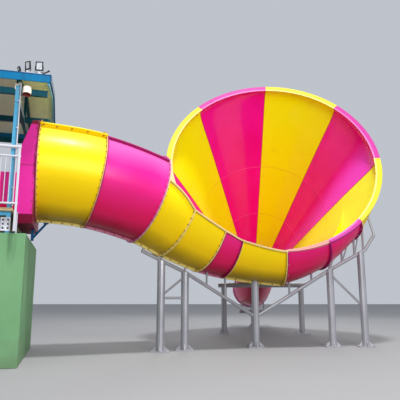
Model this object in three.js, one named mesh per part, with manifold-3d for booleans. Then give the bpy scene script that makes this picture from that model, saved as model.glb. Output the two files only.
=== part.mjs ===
// Water slide tower: a start platform with a roof, a closed tube, an open flume and a large tilted funnel.
// Millimetres, +Z up, X to the right along the front, Y away from the front.
// The origin is the middle of the underside of the base plate of the inner left post.
import * as THREE from "three";
import { mergeVertices } from "three/addons/utils/BufferGeometryUtils.js";
import Module from "manifold-3d";

const wasm = await Module();
wasm.setup();

// Driving dimensions of the slide
const seatGap = 0.3;
const cutClearance = 8;
const seatDepth = 200;
const laminate = 15;
const tubeRadius = 1080;
const flangeHeight = 60;
const flangeThickness = 25;
const ribHeight = 60;
const seamRib = { angle: 41, upper: 100, lower: 60 };
const ribWidth = 50;
const lipThickness = 25;

// Driving dimensions of the funnel
const rimCentre = new THREE.Vector3(2460, -300, 5060);
const funnelTilt = THREE.MathUtils.degToRad(25);
const funnelTurn = THREE.MathUtils.degToRad(-1.5);
const lipRadius = 3000;
const apexDepth = 8380;
const funnelDepth = 6350;
const coneSlope = 2860 / 8100;
const rimBow = { out: 190, outLength: 900, back: 330, backLength: 220 };
const footAngle = 182.7;
const stripeEnds = [0, 45, 90, 135, footAngle, 225, 270, 315, 360];
const stripeSteps = 6;
const bulgeCentre = { radius: 2260, depth: 820 };
const bulgeEnd = 262;

// Driving dimensions of the posts and the cradle that carry the flume and the funnel
const innerPost = new THREE.Vector3(50, -1400, 0);
const postRadius = 95;
const chordRadius = 45;
const strutRadius = 30;
const plateSize = 420;
const plateThickness = 20;
const postSides = 12;

// Driving dimensions of the start tower, in its own frame at the mouth of the tube
const towerPlace = new THREE.Vector3(-3080, -3000, 0);
const towerTurn = THREE.MathUtils.degToRad(15);
const columnAcross = [-3900, -500];
const columnDeep = [-1300, 2060];
const columnWidth = 80;
const wallTop = 2450;
const wallThickness = 200;
const deckTop = 2920;
const deckThickness = 60;
const railTop = 4080;
const eaveTop = 5610;
const eaveBeamBottom = 5230;
const ridgeRise = 420;

const finish = {
  pink: new THREE.MeshStandardMaterial({ color: 0xe0187d, roughness: 0.25, metalness: 0 }),
  yellow: new THREE.MeshStandardMaterial({ color: 0xf2d500, roughness: 0.25, metalness: 0 }),
  steel: new THREE.MeshStandardMaterial({ color: 0xb4b4be, roughness: 0.45, metalness: 0.8 }),
  blue: new THREE.MeshStandardMaterial({ color: 0x2fa4de, roughness: 0.5, metalness: 0 }),
  teal: new THREE.MeshStandardMaterial({ color: 0x045b70, roughness: 0.5, metalness: 0 }),
  roof: new THREE.MeshStandardMaterial({ color: 0xa8ac8c, roughness: 0.6, metalness: 0 }),
  masonry: new THREE.MeshStandardMaterial({ color: 0x86bb84, roughness: 0.85, metalness: 0 }),
  deck: new THREE.MeshStandardMaterial({ color: 0xd8cf9c, roughness: 0.7, metalness: 0 }),
  white: new THREE.MeshStandardMaterial({ color: 0xe4e4ea, roughness: 0.4, metalness: 0.2 }),
};

const part = new THREE.Group();
const slide = new THREE.Group();
slide.position.set(-innerPost.x, -innerPost.y, 0);
part.add(slide);

function addPiece(name, geometry, material, parent = slide) {
  const mesh = new THREE.Mesh(geometry, material);
  mesh.name = name;
  parent.add(mesh);
  return mesh;
}

// Solids for joining and cutting

function toSolid(geometry) {
  const bare = new THREE.BufferGeometry();
  bare.setAttribute("position", geometry.getAttribute("position").clone());
  if (geometry.index) bare.setIndex(geometry.index.clone());
  const merged = mergeVertices(bare, 1e-3);
  return new wasm.Manifold(
    new wasm.Mesh({
      numProp: 3,
      vertProperties: new Float32Array(merged.attributes.position.array),
      triVerts: new Uint32Array(merged.index.array),
    }),
  );
}

function toGeometry(solid) {
  const mesh = solid.getMesh();
  return new THREE.BufferGeometry()
    .setAttribute("position", new THREE.BufferAttribute(mesh.vertProperties, 3))
    .setIndex(new THREE.BufferAttribute(mesh.triVerts, 1));
}

function fuse(geometries) {
  return toGeometry(geometries.map(toSolid).reduce((whole, next) => whole.add(next)));
}

// Cuts the solids of a list out of a geometry and keeps the largest body that is left.
function trim(geometry, cutters) {
  const rest = cutters.reduce((whole, cutter) => whole.subtract(cutter), toSolid(geometry));
  const bodies = rest.decompose().sort((one, other) => other.volume() - one.volume());
  return toGeometry(bodies[0]);
}

// Simple bars, boxes and plates

function boxAt(low, high) {
  const size = high.map((value, axis) => value - low[axis]);
  const middle = high.map((value, axis) => (value + low[axis]) / 2);
  return new THREE.BoxGeometry(...size).translate(...middle);
}

function barBetween(start, end, radius, sides = 12) {
  const along = new THREE.Vector3().subVectors(end, start);
  const turn = new THREE.Quaternion().setFromUnitVectors(
    new THREE.Vector3(0, 1, 0),
    along.clone().normalize(),
  );
  return new THREE.CylinderGeometry(radius, radius, along.length(), sides)
    .applyQuaternion(turn)
    .translate(...new THREE.Vector3().addVectors(start, end).multiplyScalar(0.5).toArray());
}

// A round bar that bends at each point of a list
function bentBar(bends, radius, sides = 8) {
  const last = bends.length - 1;
  const points = bends.flatMap((bend, i) => {
    const along = bends[Math.min(i + 1, last)].clone().sub(bends[Math.max(i - 1, 0)]).normalize();
    const side = new THREE.Vector3(-along.y, along.x, 0).normalize();
    const up = new THREE.Vector3().crossVectors(along, side);
    return Array.from({ length: sides }, (_, n) => {
      const turn = (2 * Math.PI * n) / sides;
      return bend
        .clone()
        .addScaledVector(side, radius * Math.cos(turn))
        .addScaledVector(up, radius * Math.sin(turn));
    });
  });
  const faces = [];
  for (let n = 0; n < sides; n += 1) {
    const next = (n + 1) % sides;
    for (let i = 0; i < last; i += 1) {
      const [low, high] = [i * sides, (i + 1) * sides];
      faces.push(low + n, low + next, high + next, low + n, high + next, high + n);
    }
    if (n > 0 && n < sides - 1) {
      faces.push(0, n + 1, n);
      faces.push(last * sides, last * sides + n, last * sides + n + 1);
    }
  }
  if (volumeOf(points, faces) < 0) faces.reverse();
  return new THREE.BufferGeometry().setFromPoints(points).setIndex(faces);
}

// A plate or bar whose outline lies across the slide, in [w, z] pairs, from a place along it
function platedAcross(outline, from, to) {
  const shape = new THREE.Shape(outline.map(([w, z]) => new THREE.Vector2(w, z)));
  const turn = new THREE.Matrix4().makeBasis(
    new THREE.Vector3(0, 1, 0),
    new THREE.Vector3(0, 0, 1),
    new THREE.Vector3(1, 0, 0),
  );
  return new THREE.ExtrudeGeometry(shape, { depth: to - from, bevelEnabled: false })
    .applyMatrix4(turn)
    .translate(from, 0, 0);
}

// A wall between an outer and an inner skin. Each row holds the same number of points on both skins.
// A round wall closes on itself, and an open one has an edge along each side.
function wallBetween(rows, round) {
  const across = rows[0].outer.length;
  const points = rows.flatMap((row) => [...row.outer, ...row.inner]);
  const outer = (row, i) => row * across * 2 + (i % across);
  const inner = (row, i) => outer(row, i) + across;
  const faces = [];
  const quad = (a, b, c, d) => faces.push(a, b, c, a, c, d);
  const steps = round ? across : across - 1;
  const last = rows.length - 1;
  for (let row = 0; row < last; row += 1) {
    for (let i = 0; i < steps; i += 1) {
      quad(outer(row, i), outer(row, i + 1), outer(row + 1, i + 1), outer(row + 1, i));
      quad(inner(row, i), inner(row + 1, i), inner(row + 1, i + 1), inner(row, i + 1));
    }
    if (!round) {
      quad(outer(row, 0), outer(row + 1, 0), inner(row + 1, 0), inner(row, 0));
      quad(outer(row, steps), inner(row, steps), inner(row + 1, steps), outer(row + 1, steps));
    }
  }
  for (let i = 0; i < steps; i += 1) {
    quad(outer(0, i), inner(0, i), inner(0, i + 1), outer(0, i + 1));
    quad(outer(last, i), outer(last, i + 1), inner(last, i + 1), inner(last, i));
  }
  if (volumeOf(points, faces) < 0) faces.reverse();
  return new THREE.BufferGeometry().setFromPoints(points).setIndex(faces);
}

function volumeOf(points, faces) {
  let volume = 0;
  for (let i = 0; i < faces.length; i += 3) {
    const [a, b, c] = [points[faces[i]], points[faces[i + 1]], points[faces[i + 2]]];
    volume += a.dot(new THREE.Vector3().crossVectors(b, c));
  }
  return volume;
}

// The funnel's own frame: forward out of the mouth, up and left in the plane of the rim

const forward = new THREE.Vector3(
  Math.sin(funnelTurn) * Math.cos(funnelTilt),
  -Math.cos(funnelTurn) * Math.cos(funnelTilt),
  Math.sin(funnelTilt),
);
const rimLeft = new THREE.Vector3(-Math.cos(funnelTurn), -Math.sin(funnelTurn), 0);
const rimUp = new THREE.Vector3().crossVectors(rimLeft, forward);

// Angles go round the rim from its top towards the left, in degrees.
function radial(angle) {
  const turn = THREE.MathUtils.degToRad(angle);
  return new THREE.Vector3()
    .addScaledVector(rimUp, Math.cos(turn))
    .addScaledVector(rimLeft, Math.sin(turn));
}

function funnelPoint(depth, radius, angle) {
  return rimCentre.clone().addScaledVector(forward, -depth).addScaledVector(radial(angle), radius);
}

// Inside radius of the plain funnel: a cone that bows out behind its rim and turns in to the lip
function coneRadius(depth) {
  const bow =
    rimBow.out * Math.exp(-depth / rimBow.outLength) - rimBow.back * Math.exp(-depth / rimBow.backLength);
  return coneSlope * (apexDepth - depth) + bow;
}

// How much of the flume's bulge the wall of the funnel takes at an angle: all at its foot, then less and less
function bulgeShare(angle) {
  const along = THREE.MathUtils.clamp((angle - footAngle) / (bulgeEnd - footAngle), 0, 1);
  return Math.pow(1 - along, 1.25);
}

// The profile of one skin of the funnel's wall, from the rim to the narrow end, as [depth, radius] pairs.
// Grown is its distance outside the inner skin, and a lip or a flange stands out where its radius is given.
const step = 1;
const rimDepths = [lipThickness + step, 120, 260, 450, 750, 1200, 1900];
function funnelProfile(angle, grown, bulged, lip, flange) {
  const plain = (depth) => coneRadius(depth) + grown;
  const round = tubeRadius - laminate + grown;
  const turnAt = (depth) => Math.acos((bulgeCentre.depth - depth) / round);
  const wall = (turn) => {
    const depth = bulgeCentre.depth - round * Math.cos(turn);
    const share = bulged ? bulgeShare(angle) : 0;
    return [depth, THREE.MathUtils.lerp(plain(depth), bulgeCentre.radius + round * Math.sin(turn), share)];
  };
  const profile = [0, lipThickness].map((depth) => [depth, lip || wall(turnAt(depth))[1]]);
  if (bulged) {
    const first = turnAt(lipThickness + step);
    const last = THREE.MathUtils.degToRad(176);
    const arcSteps = 10;
    for (let i = 0; i <= arcSteps; i += 1)
      profile.push(wall(THREE.MathUtils.lerp(first, last, i / arcSteps)));
  } else {
    rimDepths.forEach((depth) => profile.push([depth, plain(depth)]));
  }
  const flangeStart = funnelDepth - flangeThickness;
  profile.push([flangeStart - step, plain(flangeStart - step)]);
  profile.push([flangeStart, plain(flangeStart) + flange]);
  profile.push([funnelDepth, plain(funnelDepth) + flange]);
  return profile;
}

// A stripe of the funnel's wall, with a rib along each of its long edges
function funnelStripe(from, to, bulged, grown = 0) {
  const rib = THREE.MathUtils.radToDeg((flangeThickness + 3 * grown) / 1500);
  const small = THREE.MathUtils.radToDeg(step / 1500);
  const angles = [from, from + rib];
  for (let i = 0; i <= stripeSteps; i += 1)
    angles.push(THREE.MathUtils.lerp(from + rib + small, to - rib - small, i / stripeSteps));
  angles.push(to - rib, to);
  const rows = angles.map((angle, i) => {
    const ribbed = i < 2 || i > angles.length - 3;
    const skin = (...sizes) =>
      funnelProfile(angle, ...sizes).map(([depth, radius]) => funnelPoint(depth, radius, angle));
    return {
      outer: ribbed
        ? skin(laminate + flangeHeight + grown, bulged, lipRadius, 0)
        : skin(laminate + grown, bulged, lipRadius, flangeHeight),
      inner: skin(grown ? -seatDepth : 0, bulged, 0, 0),
    };
  });
  return wallBetween(rows, false);
}

// The centre line of the tube and the flume: its rings, from the tower to the foot of the funnel.
// Near and far are the angles from the top of the section to the wall's two edges, in degrees.
const rings = {
  mouth: { at: [-3148, -3018, 4000] },
  second: { at: [-2060, -2580, 3910] },
  third: { at: [-870, -1950, 3590], near: 76, far: 44 },
  fourth: { at: [-210, -1550, 3280], near: 94, far: 46 },
  fifth: { at: [620, -1110, 2960], near: 100, far: 60 },
  sixth: { at: [1150, -890, 2840], near: 104, far: 80 },
};
const footCentre = funnelPoint(bulgeCentre.depth, bulgeCentre.radius, footAngle);
const footBeyond = funnelPoint(bulgeCentre.depth, bulgeCentre.radius, footAngle + 8);
const pathPoints = [
  new THREE.Vector3(-4200, -3300, 4030),
  ...Object.values(rings).map((ring) => new THREE.Vector3(...ring.at)),
  footCentre,
  footBeyond,
];
const path = new THREE.CatmullRomCurve3(pathPoints, false, "centripetal");
const pathStep = 1 / (pathPoints.length - 1);
const ringAt = {};
["before", ...Object.keys(rings), "foot", "beyond"].forEach((name, i) => {
  ringAt[name] = i * pathStep;
});

// The round section of the slide at a place on its centre line. It is square to the tower at the mouth
// and lies in the funnel's own section at its foot.
const towerAlong = new THREE.Vector3(Math.cos(towerTurn), Math.sin(towerTurn), 0);
function sectionAt(place) {
  const centre = path.getPoint(place);
  const along = path.getTangent(place);
  const meridian = radial(footAngle).cross(forward).normalize();
  if (along.dot(meridian) < 0) meridian.negate();
  along.lerp(towerAlong, 1 - THREE.MathUtils.smoothstep(place, ringAt.mouth, ringAt.second));
  along.lerp(meridian, THREE.MathUtils.smoothstep(place, ringAt.sixth, ringAt.foot)).normalize();
  const up = new THREE.Vector3(0, 0, 1).addScaledVector(along, -along.z).normalize();
  const near = new THREE.Vector3().crossVectors(along, up);
  if (near.y > 0) near.negate();
  return { centre, up, near };
}

function sectionPoint(section, radius, angle) {
  const turn = THREE.MathUtils.degToRad(angle);
  return section.centre
    .clone()
    .addScaledVector(section.up, radius * Math.cos(turn))
    .addScaledVector(section.near, radius * Math.sin(turn));
}

// Edge angles along the flume, from its rings
const footNear = 107;
const footFar = 115;
function edgeAngles(place) {
  const open = [rings.third, rings.fourth, rings.fifth, rings.sixth, { near: footNear, far: footFar }];
  const at = THREE.MathUtils.clamp((place - ringAt.third) / pathStep, 0, open.length - 1);
  const low = Math.min(Math.floor(at), open.length - 2);
  return {
    near: THREE.MathUtils.lerp(open[low].near, open[low + 1].near, at - low),
    far: THREE.MathUtils.lerp(open[low].far, open[low + 1].far, at - low),
  };
}

// The length of centre line in one unit of place, for thin flanges and small gaps
function placeOf(length, place) {
  const small = 1e-4;
  const speed = path.getPoint(place + small).distanceTo(path.getPoint(place - small)) / (2 * small);
  return length / speed;
}

// The angles round a section and how far its outer skin stands out there. A rib runs along each bolted joint:
// at the bottom, and on the closed tube at the upper front as well, where its height is given as seam.
function sectionAngles(near, far, seam, grown = 0) {
  const half = THREE.MathUtils.radToDeg((ribWidth / 2 + grown) / tubeRadius);
  const clear = half + THREE.MathUtils.radToDeg(step / tubeRadius);
  const stretch = (start, end, steps) =>
    Array.from({ length: steps + 1 }, (_, i) => [THREE.MathUtils.lerp(start, end, i / steps), 0]);
  const rib = (angle, height) => [
    [angle - half, height],
    [angle + half, height],
  ];
  if (!seam)
    return [
      ...stretch(near, 180 - clear, 8),
      ...rib(180, ribHeight),
      ...stretch(180 + clear, 360 - far, 8),
    ];
  return [
    ...rib(seamRib.angle, seam),
    ...stretch(seamRib.angle + clear, 180 - clear, 9),
    ...rib(180, ribHeight),
    ...stretch(180 + clear, 360 + seamRib.angle - clear, 13),
  ];
}

// A stretch of the slide between two rings, with a flange at each end and a wall of the laminate's thickness.
// A closed tube has the height of its upper rib as seam, and the open flume has none.
function slideStretch(from, to, seam, grown = 0) {
  const start = from + placeOf(seatGap / 2 - grown, from);
  const end = to - placeOf(seatGap / 2 - grown, to);
  const flange = placeOf(flangeThickness + 2 * grown, from);
  const small = placeOf(step, from);
  const steps = seam ? 3 : 4;
  const places = [start, start + flange];
  for (let i = 0; i <= steps; i += 1)
    places.push(THREE.MathUtils.lerp(start + flange + small, end - flange - small, i / steps));
  places.push(end - flange, end);
  const rows = places.map((place, i) => {
    const flanged = i < 2 || i > places.length - 3;
    const section = sectionAt(place);
    const { near, far } = edgeAngles(place);
    const angles = sectionAngles(near, far, seam, grown);
    const skin = (radius, extra) =>
      angles.map(([angle, rib]) => sectionPoint(section, radius + extra(rib), angle));
    return {
      outer: skin(tubeRadius + grown, (rib) => (flanged ? Math.max(flangeHeight, rib) : rib)),
      inner: skin(tubeRadius - (grown ? seatDepth : laminate), () => 0),
    };
  });
  return wallBetween(rows, seam > 0);
}

// The flat lip that stands outwards along the near edge of the flume, from ring to ring
function nearLip(from, to) {
  const rows = [];
  const steps = 6;
  const thick = THREE.MathUtils.radToDeg(lipThickness / tubeRadius);
  for (let i = 0; i <= steps; i += 1) {
    const place = THREE.MathUtils.lerp(
      from + placeOf(seatGap / 2, from),
      to - placeOf(seatGap / 2, to),
      i / steps,
    );
    const section = sectionAt(place);
    const { near } = edgeAngles(place);
    const row = (angle) =>
      [tubeRadius - laminate / 2, tubeRadius + flangeHeight].map((radius) =>
        sectionPoint(section, radius, angle),
      );
    rows.push({ outer: row(near - thick / 2), inner: row(near + thick / 2) });
  }
  return wallBetween(rows, false);
}

// The space inside the funnel's wall, and the space that the flume takes, grown by the seat gap
function funnelSolid(grown) {
  const skin = [30, ...rimDepths.slice(1), funnelDepth].map((depth) =>
    new THREE.Vector2(coneRadius(depth) + grown, -depth),
  );
  const axis = [new THREE.Vector2(0, -30), new THREE.Vector2(0, -funnelDepth)];
  const place = new THREE.Matrix4()
    .makeBasis(rimUp, forward, new THREE.Vector3().crossVectors(rimUp, forward))
    .setPosition(rimCentre);
  const lathe = new THREE.LatheGeometry([axis[1], ...skin.reverse(), axis[0]], 48);
  return toSolid(lathe.applyMatrix4(place));
}
const funnelInside = funnelSolid(laminate + seatGap);

function flumeSolid(from, to, radius, steps) {
  const sides = 48;
  const rows = [];
  for (let i = 0; i <= steps; i += 1) {
    const section = sectionAt(THREE.MathUtils.lerp(from, to, i / steps));
    const ring = (size) =>
      Array.from({ length: sides }, (_, side) => sectionPoint(section, size, (360 * side) / sides));
    rows.push({ outer: ring(radius + cutClearance), inner: ring(1) });
  }
  return toSolid(wallBetween(rows, true));
}

// What the funnel's wall leaves free: the flume itself, and a notch for each pair of its flanges
const flumeSpace = [
  flumeSolid(ringAt.third - 0.3 * pathStep, ringAt.foot, tubeRadius, 40),
  ...["third", "fourth", "fifth", "sixth"].map((name) => {
    const half = placeOf(flangeThickness + cutClearance, ringAt[name]);
    return flumeSolid(ringAt[name] - half, ringAt[name] + half, tubeRadius + flangeHeight, 1);
  }),
  flumeSolid(
    ringAt.foot - placeOf(flangeThickness + cutClearance, ringAt.foot),
    ringAt.foot,
    tubeRadius + flangeHeight,
    1,
  ),
];

// Closed tube
addPiece("tube_upper_yellow", slideStretch(ringAt.mouth, ringAt.second, seamRib.upper), finish.yellow);
addPiece("tube_lower_pink", slideStretch(ringAt.second, ringAt.third, seamRib.lower), finish.pink);

// Open flume, trimmed where it runs into the funnel
const flume = [
  ["flume_first_yellow", "third", "fourth", finish.yellow],
  ["flume_second_yellow", "fourth", "fifth", finish.yellow],
  ["flume_third_pink", "fifth", "sixth", finish.pink],
  ["flume_fourth_yellow", "sixth", "foot", finish.yellow],
];
flume.forEach(([name, from, to, material]) => {
  const wall = slideStretch(ringAt[from], ringAt[to], 0);
  const lip = nearLip(ringAt[from], ringAt[to]);
  addPiece(name, trim(fuse([wall, lip]), [funnelInside]), material);
});

// Eight stripes of the funnel, from the top towards the left
const stripeNames = [
  "funnel_stripe_top_left",
  "funnel_stripe_left_upper",
  "funnel_stripe_left_lower",
  "funnel_stripe_bottom_left",
  "funnel_stripe_bottom_right",
  "funnel_stripe_right_lower",
  "funnel_stripe_right_upper",
  "funnel_stripe_top_right",
];
function stripeAt(i, grown = 0) {
  const gapAngle = THREE.MathUtils.radToDeg((seatGap / 2 - grown) / coneRadius(funnelDepth));
  const [from, to] = [stripeEnds[i] + gapAngle, stripeEnds[i + 1] - gapAngle];
  return funnelStripe(from, to, i === 4 || i === 5, grown);
}
stripeNames.forEach((name, i) => {
  const geometry = i === 2 || i === 3 ? trim(stripeAt(i), flumeSpace) : stripeAt(i);
  addPiece(name, geometry, i % 2 ? finish.yellow : finish.pink);
});

// Run-out: a short open trough from the narrow end, which levels out
const runRadius = coneRadius(funnelDepth) + laminate;
const runStart = funnelPoint(funnelDepth + seatGap, 0, 0);
const runBend = funnelPoint(funnelDepth + 1100, 0, 0);
const runEnd = new THREE.Vector3(runStart.x, runStart.y + 2300, runRadius + 840);
const runPath = new THREE.CubicBezierCurve3(
  runStart,
  runBend,
  runEnd.clone().add(new THREE.Vector3(0, -900, 0)),
  runEnd,
);
function runOut(grown) {
  const length = 2450;
  const flange = (flangeThickness + grown) / length;
  const small = step / length;
  const places = [0, flange];
  for (let i = 0; i <= 4; i += 1)
    places.push(THREE.MathUtils.lerp(flange + small, 1 - flange - small, i / 4));
  places.push(1 - flange, 1);
  const sides = 12;
  const edge = 78;
  const rows = places.map((place, i) => {
    const along = runPath.getTangent(place);
    const up = new THREE.Vector3(0, 0, 1).addScaledVector(along, -along.z).normalize();
    const near = new THREE.Vector3().crossVectors(along, up);
    const section = { centre: runPath.getPoint(place), up, near };
    const skin = (radius) =>
      Array.from({ length: sides + 1 }, (_, n) =>
        sectionPoint(section, radius, THREE.MathUtils.lerp(edge, 360 - edge, n / sides)),
      );
    const flanged = i < 2 || i > places.length - 3;
    return {
      outer: skin(runRadius + grown + (flanged ? flangeHeight : 0)),
      inner: skin(runRadius - (grown ? seatDepth : laminate)),
    };
  });
  return wallBetween(rows, false);
}
addPiece("run_out_pink", runOut(0), finish.pink);

// Seats: the outside of the slide, grown by the seat gap, which each strut and post is cut to
const seats = [
  ...["mouth", "second"].map((name) =>
    slideStretch(ringAt[name], ringAt[name] + pathStep, ribHeight, seatGap),
  ),
  ...["third", "fourth", "fifth", "sixth"].map((name) =>
    slideStretch(ringAt[name], ringAt[name] + pathStep, 0, seatGap),
  ),
  ...[3, 4, 5].map((i) => stripeAt(i, seatGap)),
  runOut(seatGap),
].map(toSolid);

const at = (x, y, z) => new THREE.Vector3(x, y, z);

// A round post on its base plate, up to a height
function post(foot, height, radius = postRadius) {
  const half = plateSize / 2;
  return [
    boxAt([foot.x - half, foot.y - half, 0], [foot.x + half, foot.y + half, plateThickness]),
    barBetween(at(foot.x, foot.y, plateThickness - 5), at(foot.x, foot.y, height), radius, postSides),
  ];
}

// The same post as a solid that bars are cut to
function postSpace(foot, height, radius = postRadius) {
  return toSolid(barBetween(at(foot.x, foot.y, 0), at(foot.x, foot.y, height), radius + seatGap, postSides));
}

// Cradle: a chord in a shallow V from under the tube to the right of the funnel, on five posts
const posts = {
  outerLeft: at(-510, -1730, 2110),
  innerLeft: at(innerPost.x, innerPost.y, 1850),
  centre: at(1845, -700, 1900),
  innerRight: at(3840, -550, 1947),
  outerRight: at(4680, -550, 2400),
};
const chordLow = at(1845, -700, 745);
const chordLeft = [at(-958, -1995, 2330), posts.outerLeft, posts.innerLeft, chordLow];
const chordRight = [chordLow, posts.innerRight, at(4809, -550, 2474), at(5076, -550, 2875)];
const above = (foot, rise) => foot.clone().add(at(0, 0, rise));
const strut = (foot, rise) => barBetween(foot, above(foot, rise), strutRadius, 6);
const onLine = (from, to, share) => from.clone().lerp(to, share);
const centrePost = postSpace(posts.centre, 2500);

addPiece(
  "trestle_left",
  trim(
    fuse([
      bentBar(chordLeft, chordRadius),
      ...post(posts.outerLeft, posts.outerLeft.z),
      ...post(posts.innerLeft, posts.innerLeft.z),
      barBetween(at(-510, -1730, 1270), at(50, -1400, 1750), strutRadius, 6),
      barBetween(at(-510, -1730, 1230), at(50, -1400, 1230), strutRadius, 6),
      strut(onLine(chordLeft[0], chordLeft[1], 0.08), 500),
      strut(posts.outerLeft, 400),
      strut(posts.innerLeft, 500),
      strut(onLine(posts.innerLeft, chordLow, 0.3), 700),
      strut(onLine(posts.innerLeft, chordLow, 0.56), 900),
    ]),
    [...seats, centrePost],
  ),
  finish.steel,
);
addPiece("centre_post", trim(fuse(post(posts.centre, posts.centre.z)), seats), finish.steel);

// The right half has leaning bars between its last struts, from the foot of one to the top of the next.
const rightFeet = [0, 0.35, 0.7, 0.95].map((share) => onLine(posts.innerRight, chordRight[2], share));
const rightTops = [500, 700, 800, 900].map((rise, i) => above(rightFeet[i], rise));
const leaningRadius = 22;
const bracketTop = at(4930, -550, 3420);
addPiece(
  "trestle_right",
  trim(
    fuse([
      bentBar(chordRight, chordRadius),
      ...post(posts.innerRight, posts.innerRight.z),
      ...post(posts.outerRight, posts.outerRight.z),
      barBetween(at(3840, -550, 1850), at(4680, -550, 990), strutRadius, 6),
      strut(onLine(chordLow, posts.innerRight, 0.45), 900),
      strut(onLine(chordLow, posts.innerRight, 0.75), 700),
      ...rightFeet.map((foot, i) => barBetween(foot, rightTops[i], strutRadius, 6)),
      ...rightTops.slice(1).map((top, i) => barBetween(rightFeet[i], top, leaningRadius, 6)),
      barBetween(chordRight[3], bracketTop, strutRadius, 6),
    ]),
    [...seats, centrePost],
  ),
  finish.steel,
);

// Rear frame under the narrow end, and the stand under the run-out
const rearLine = 3900;
const rearBeam = 1640;
const rearPosts = [-1350, 1350].map((side) => at(runStart.x + side, rearLine, rearBeam));
addPiece(
  "rear_frame",
  trim(
    fuse([
      bentBar(
        [at(rearPosts[0].x - 200, rearLine, rearBeam), at(rearPosts[1].x + 200, rearLine, rearBeam)],
        80,
      ),
      ...rearPosts.flatMap((foot) => post(foot, rearBeam)),
      ...[-700, -250, 250, 700].map((side) => strut(at(runStart.x + side, rearLine, rearBeam), 700)),
    ]),
    seats,
  ),
  finish.steel,
);
const standLine = runEnd.y - 500;
addPiece(
  "run_out_stand",
  trim(
    fuse([
      bentBar([at(runEnd.x - 550, standLine, 620), at(runEnd.x + 550, standLine, 620)], 60),
      ...post(at(runEnd.x, standLine, 0), 1200, 80),
      ...[-450, 450].map((side) => strut(at(runEnd.x + side, standLine, 620), 700)),
    ]),
    seats,
  ),
  finish.steel,
);

// Start tower, in its own frame: t along the mouth of the tube, w away from the front
const tower = new THREE.Group();
tower.position.copy(towerPlace);
tower.rotation.z = towerTurn;
slide.add(tower);
const [leftColumn, rightColumn] = columnAcross;
const [frontColumn, rearColumn] = columnDeep;
const half = columnWidth / 2;
const addTowerPiece = (name, geometry, material) => addPiece(name, geometry, material, tower);

// Masonry base
const base = { left: -4050, right: -160, front: -1350, rear: 2100 };
const baseWalls = {
  base_wall_front: [base.left, base.front, base.right, base.front + wallThickness],
  base_wall_rear: [base.left, base.rear - wallThickness, base.right, base.rear],
  base_wall_left: [
    base.left,
    base.front + wallThickness + seatGap,
    base.left + wallThickness,
    base.rear - wallThickness - seatGap,
  ],
  base_wall_right: [
    base.right - wallThickness,
    base.front + wallThickness + seatGap,
    base.right,
    base.rear - wallThickness - seatGap,
  ],
};
Object.entries(baseWalls).forEach(([name, [left, front, right, rear]]) => {
  addTowerPiece(name, boxAt([left, front, 0], [right, rear, wallTop]), finish.masonry);
});

// Columns on the base, the deck between them on its two beams
const tieTop = eaveBeamBottom - seatGap;
const tieHeight = 130;
const columnTop = tieTop - tieHeight - seatGap;
const columnPlaces = {
  column_front_left: [leftColumn, frontColumn],
  column_front_right: [rightColumn, frontColumn],
  column_rear_left: [leftColumn, rearColumn],
  column_rear_right: [rightColumn, rearColumn],
};
const columnBox = ([t, w], low, high, grown = 0) =>
  boxAt([t - half - grown, w - half - grown, low], [t + half + grown, w + half + grown, high]);
Object.entries(columnPlaces).forEach(([name, place]) => {
  addTowerPiece(name, columnBox(place, wallTop + seatGap, columnTop), finish.blue);
});
const deckEdge = { left: -3990, right: -420, front: -1420, rear: 2180 };
const deckBottom = deckTop - deckThickness;
addTowerPiece(
  "deck",
  trim(
    boxAt([deckEdge.left, deckEdge.front, deckBottom], [deckEdge.right, deckEdge.rear, deckTop]),
    Object.values(columnPlaces).map((place) => toSolid(columnBox(place, 2000, 4000, seatGap))),
  ),
  finish.deck,
);
const deckBeams = { deck_beam_front: frontColumn, deck_beam_rear: rearColumn };
Object.entries(deckBeams).forEach(([name, w]) => {
  addTowerPiece(
    name,
    boxAt(
      [leftColumn + half + seatGap, w - half, deckBottom - 80],
      [rightColumn - half - seatGap, w + half, deckBottom - seatGap],
    ),
    finish.blue,
  );
});

// Roof frame: a tie across each pair of columns, three beams on the ties and a truss over each tie
const beamHeight = 130;
const beamTop = eaveBeamBottom + beamHeight;
const ridgeLine = 380;
const gableEnds = { left: -4500, right: 110 };
const roofEdge = { front: -1540, rear: 2300 };
const roofThickness = 60;
const slope = ridgeRise / (ridgeLine - roofEdge.front);
const roofUnder = (w) => eaveTop + ridgeRise - roofThickness - slope * Math.abs(w - ridgeLine);
[["roof_tie_left", leftColumn], ["roof_tie_right", rightColumn]].forEach(([name, t]) => {
  addTowerPiece(
    name,
    boxAt([t - half, frontColumn - half, tieTop - tieHeight], [t + half, rearColumn + half, tieTop]),
    finish.teal,
  );
});
const beamLines = { eave_beam_front: frontColumn, ridge_beam: ridgeLine, eave_beam_rear: rearColumn };
Object.entries(beamLines).forEach(([name, w]) => {
  addTowerPiece(
    name,
    boxAt([gableEnds.left + 100, w - half, eaveBeamBottom], [gableEnds.right - 35, w + half, beamTop]),
    finish.teal,
  );
});
const trussDepth = 90;
const trussFoot = (w) => [
  [w + half, roofUnder(w + half) - trussDepth],
  [w + half, beamTop + seatGap],
  [w - half, beamTop + seatGap],
  [w - half, roofUnder(w - half) - trussDepth],
];
const trussOutline = [
  ...[frontColumn - half, ridgeLine, rearColumn + half].map((w) => [w, roofUnder(w) - seatGap]),
  ...trussFoot(rearColumn).slice(1),
  ...trussFoot(ridgeLine),
  ...trussFoot(frontColumn).slice(0, 3),
];
[["roof_truss_left", leftColumn], ["roof_truss_right", rightColumn]].forEach(([name, t]) => {
  addTowerPiece(name, platedAcross(trussOutline, t - 30, t + 30), finish.teal);
});

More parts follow.
